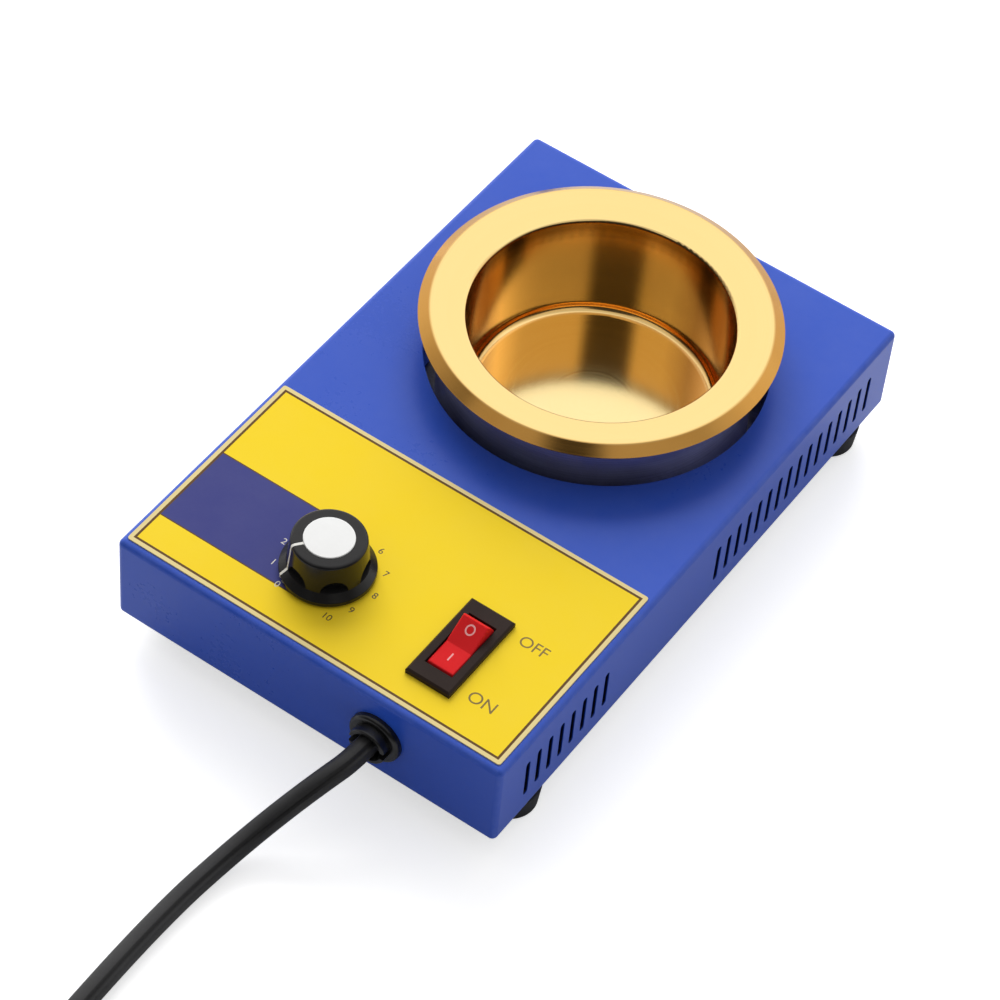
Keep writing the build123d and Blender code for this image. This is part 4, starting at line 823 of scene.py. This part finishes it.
# %% Colour the rocker
switch_x = 32.1 * MM
off_mark_y = controls_y + 4.2 * MM
ring_radius = 1.25 * MM
mark_half_width = 0.22 * MM
stroke_front = controls_y - 6.2 * MM
stroke_rear = controls_y - 3.4 * MM
red, tree, shader, coords = new_finish("rocker red", Specular_IOR_Level=0.12, Subsurface_Weight=0.1)
shader.inputs["Subsurface Radius"].default_value = (0.004, 0.0008, 0.0008)
shader.inputs["Subsurface Scale"].default_value = 0.4
grain = place_group(tree, grain_group, Vector=coords["Object"], Scale=1200.0, Cloud_Scale=90.0, Amount=1.0)
from_middle, spot = around(tree, coords, (switch_x, off_mark_y))
ring = calc(tree, "LESS_THAN", off_by(tree, from_middle, ring_radius), mark_half_width)
stroke = field(
    tree, coords, switch_x - mark_half_width, switch_x + mark_half_width, stroke_front, stroke_rear
)
marks = calc(tree, "MAXIMUM", ring, stroke)
colour = mix(tree, grain.outputs["Tone"], tint(212, 26, 30), tint(232, 38, 42))
feed(tree, shader.inputs["Base Color"], mix(tree, marks, colour, tint(246, 176, 176)))
feed(tree, shader.inputs["Roughness"], fit(tree, grain.outputs["Tone"], 0.0, 1.0, 0.34, 0.26))
bump(tree, shader, grain.outputs["Height"], 0.01)
coat(red, "switch_rocker")
print("coloured the rocker")

# %% [markdown]
# ## The studio
#
# A catalogue photograph of a shiny pot is a photograph of what the pot reflects. Here that is a
# white floor, a white wall behind and to the left, a light grey ceiling, and a darker room on the
# camera's side: the dark room gives the gold its deep tones. The floor and the world are white to
# the camera, and the light stays at a plain level, at which a colour renders about as written.
# The floor adds a little light of its own for the camera alone, which makes it white up to the
# object's soft shadow.

# %% Build the floor
floor_shape = bmesh.new()
bmesh.ops.create_grid(floor_shape, x_segments=1, y_segments=1, size=3.0)
floor_mesh = bpy.data.meshes.new("studio_floor")
floor_shape.to_mesh(floor_mesh)
floor_shape.free()
studio_floor = bpy.data.objects.new("studio_floor", floor_mesh)
scene.collection.objects.link(studio_floor)
card, tree, shader, coords = new_finish("white card", Roughness=0.9, Specular_IOR_Level=0.1)
shader.inputs["Base Color"].default_value = (0.9, 0.9, 0.9, 1.0)
rays = tree.nodes.new("ShaderNodeLightPath").outputs
shader.inputs["Emission Color"].default_value = (1.0, 1.0, 1.0, 1.0)
floor_glow = 0.58
feed(tree, shader.inputs["Emission Strength"], calc(tree, "MULTIPLY", rays["Is Camera Ray"], floor_glow))
floor_mesh.materials.append(card)
print("the floor is laid")

# %% [markdown]
# The world is one colour, white, and only its strength changes: full for the camera, and for
# other rays by direction, from the dim side at the camera to the bright side behind the pot.
# Reflections see a stronger contrast than soft light does, and they also see a ceiling, with a
# dark place in it where the camera and its stand keep the light out.

# %% Set the world's light
world = bpy.data.worlds.new("studio")
scene.world = world
world.use_nodes = True
tree = world.node_tree
sky = tree.nodes["Background"]
sky.inputs["Color"].default_value = (1.0, 1.0, 1.0, 1.0)
rays = tree.nodes.new("ShaderNodeLightPath").outputs
coming = tree.nodes.new("ShaderNodeTexCoord").outputs["Generated"]


def along_direction(tree, vector, direction):
    """How far a direction points along another one, from -1 to 1."""
    node = add(tree, "VectorMath", Vector=vector)
    node.operation = "DOT_PRODUCT"
    node.inputs[1].default_value = direction
    return node.outputs["Value"]


bright_side = along_direction(tree, coming, (-0.3, 0.85, 0.35))
toward_stand = along_direction(tree, coming, (0.244, -0.637, 0.731))
height = add(tree, "SeparateXYZ", Vector=coming)
wall_light = 1.18
room_light = 0.05
ceiling_light = 0.68
light_past_stand = 0.08
soft_bright = 0.75
soft_dim = 0.26
ceiling = fit(tree, height.outputs["Z"], 0.63, 0.7, 0.0, ceiling_light)
past_stand = fit(tree, toward_stand, 0.945, 0.975, 1.0, light_past_stand)
ceiling = calc(tree, "MULTIPLY", ceiling, past_stand)
reflected = calc(tree, "MAXIMUM", ceiling, fit(tree, bright_side, -0.1, 0.5, room_light, wall_light))
softened = fit(tree, bright_side, -0.5, 0.7, soft_dim, soft_bright)
mirrored = calc(tree, "MAXIMUM", rays["Is Glossy Ray"], rays["Is Transmission Ray"])
plain = calc(tree, "MULTIPLY", calc(tree, "SUBTRACT", 1.0, mirrored), softened)
shown = calc(tree, "ADD", calc(tree, "MULTIPLY", mirrored, reflected), plain)
feed(tree, sky.inputs["Strength"], calc(tree, "MAXIMUM", shown, rays["Is Camera Ray"]))
print("reflections see light from", room_light, "to", wall_light)

# %% [markdown]
# One large lamp behind and to the left gives the shadow its direction. Reflections don't see it,
# because it would add its light to that of the bright wall, and the gold would burn out to white.

# %% Hang the lamp
lamp_place = Vector((-1.05, 1.3, 1.15))
lamp_aim = Vector((0, 0, 0.03))
lamp = bpy.data.lights.new("key_lamp", "AREA")
lamp.shape = "SQUARE"
lamp.size = 1.8
lamp.energy = 39.0
key_lamp = bpy.data.objects.new("key_lamp", lamp)
scene.collection.objects.link(key_lamp)
key_lamp.location = lamp_place
key_lamp.rotation_euler = (lamp_aim - lamp_place).to_track_quat("-Z", "Y").to_euler()
key_lamp.visible_glossy = False
scene.view_settings.view_transform = "Standard"
print("studio lit")
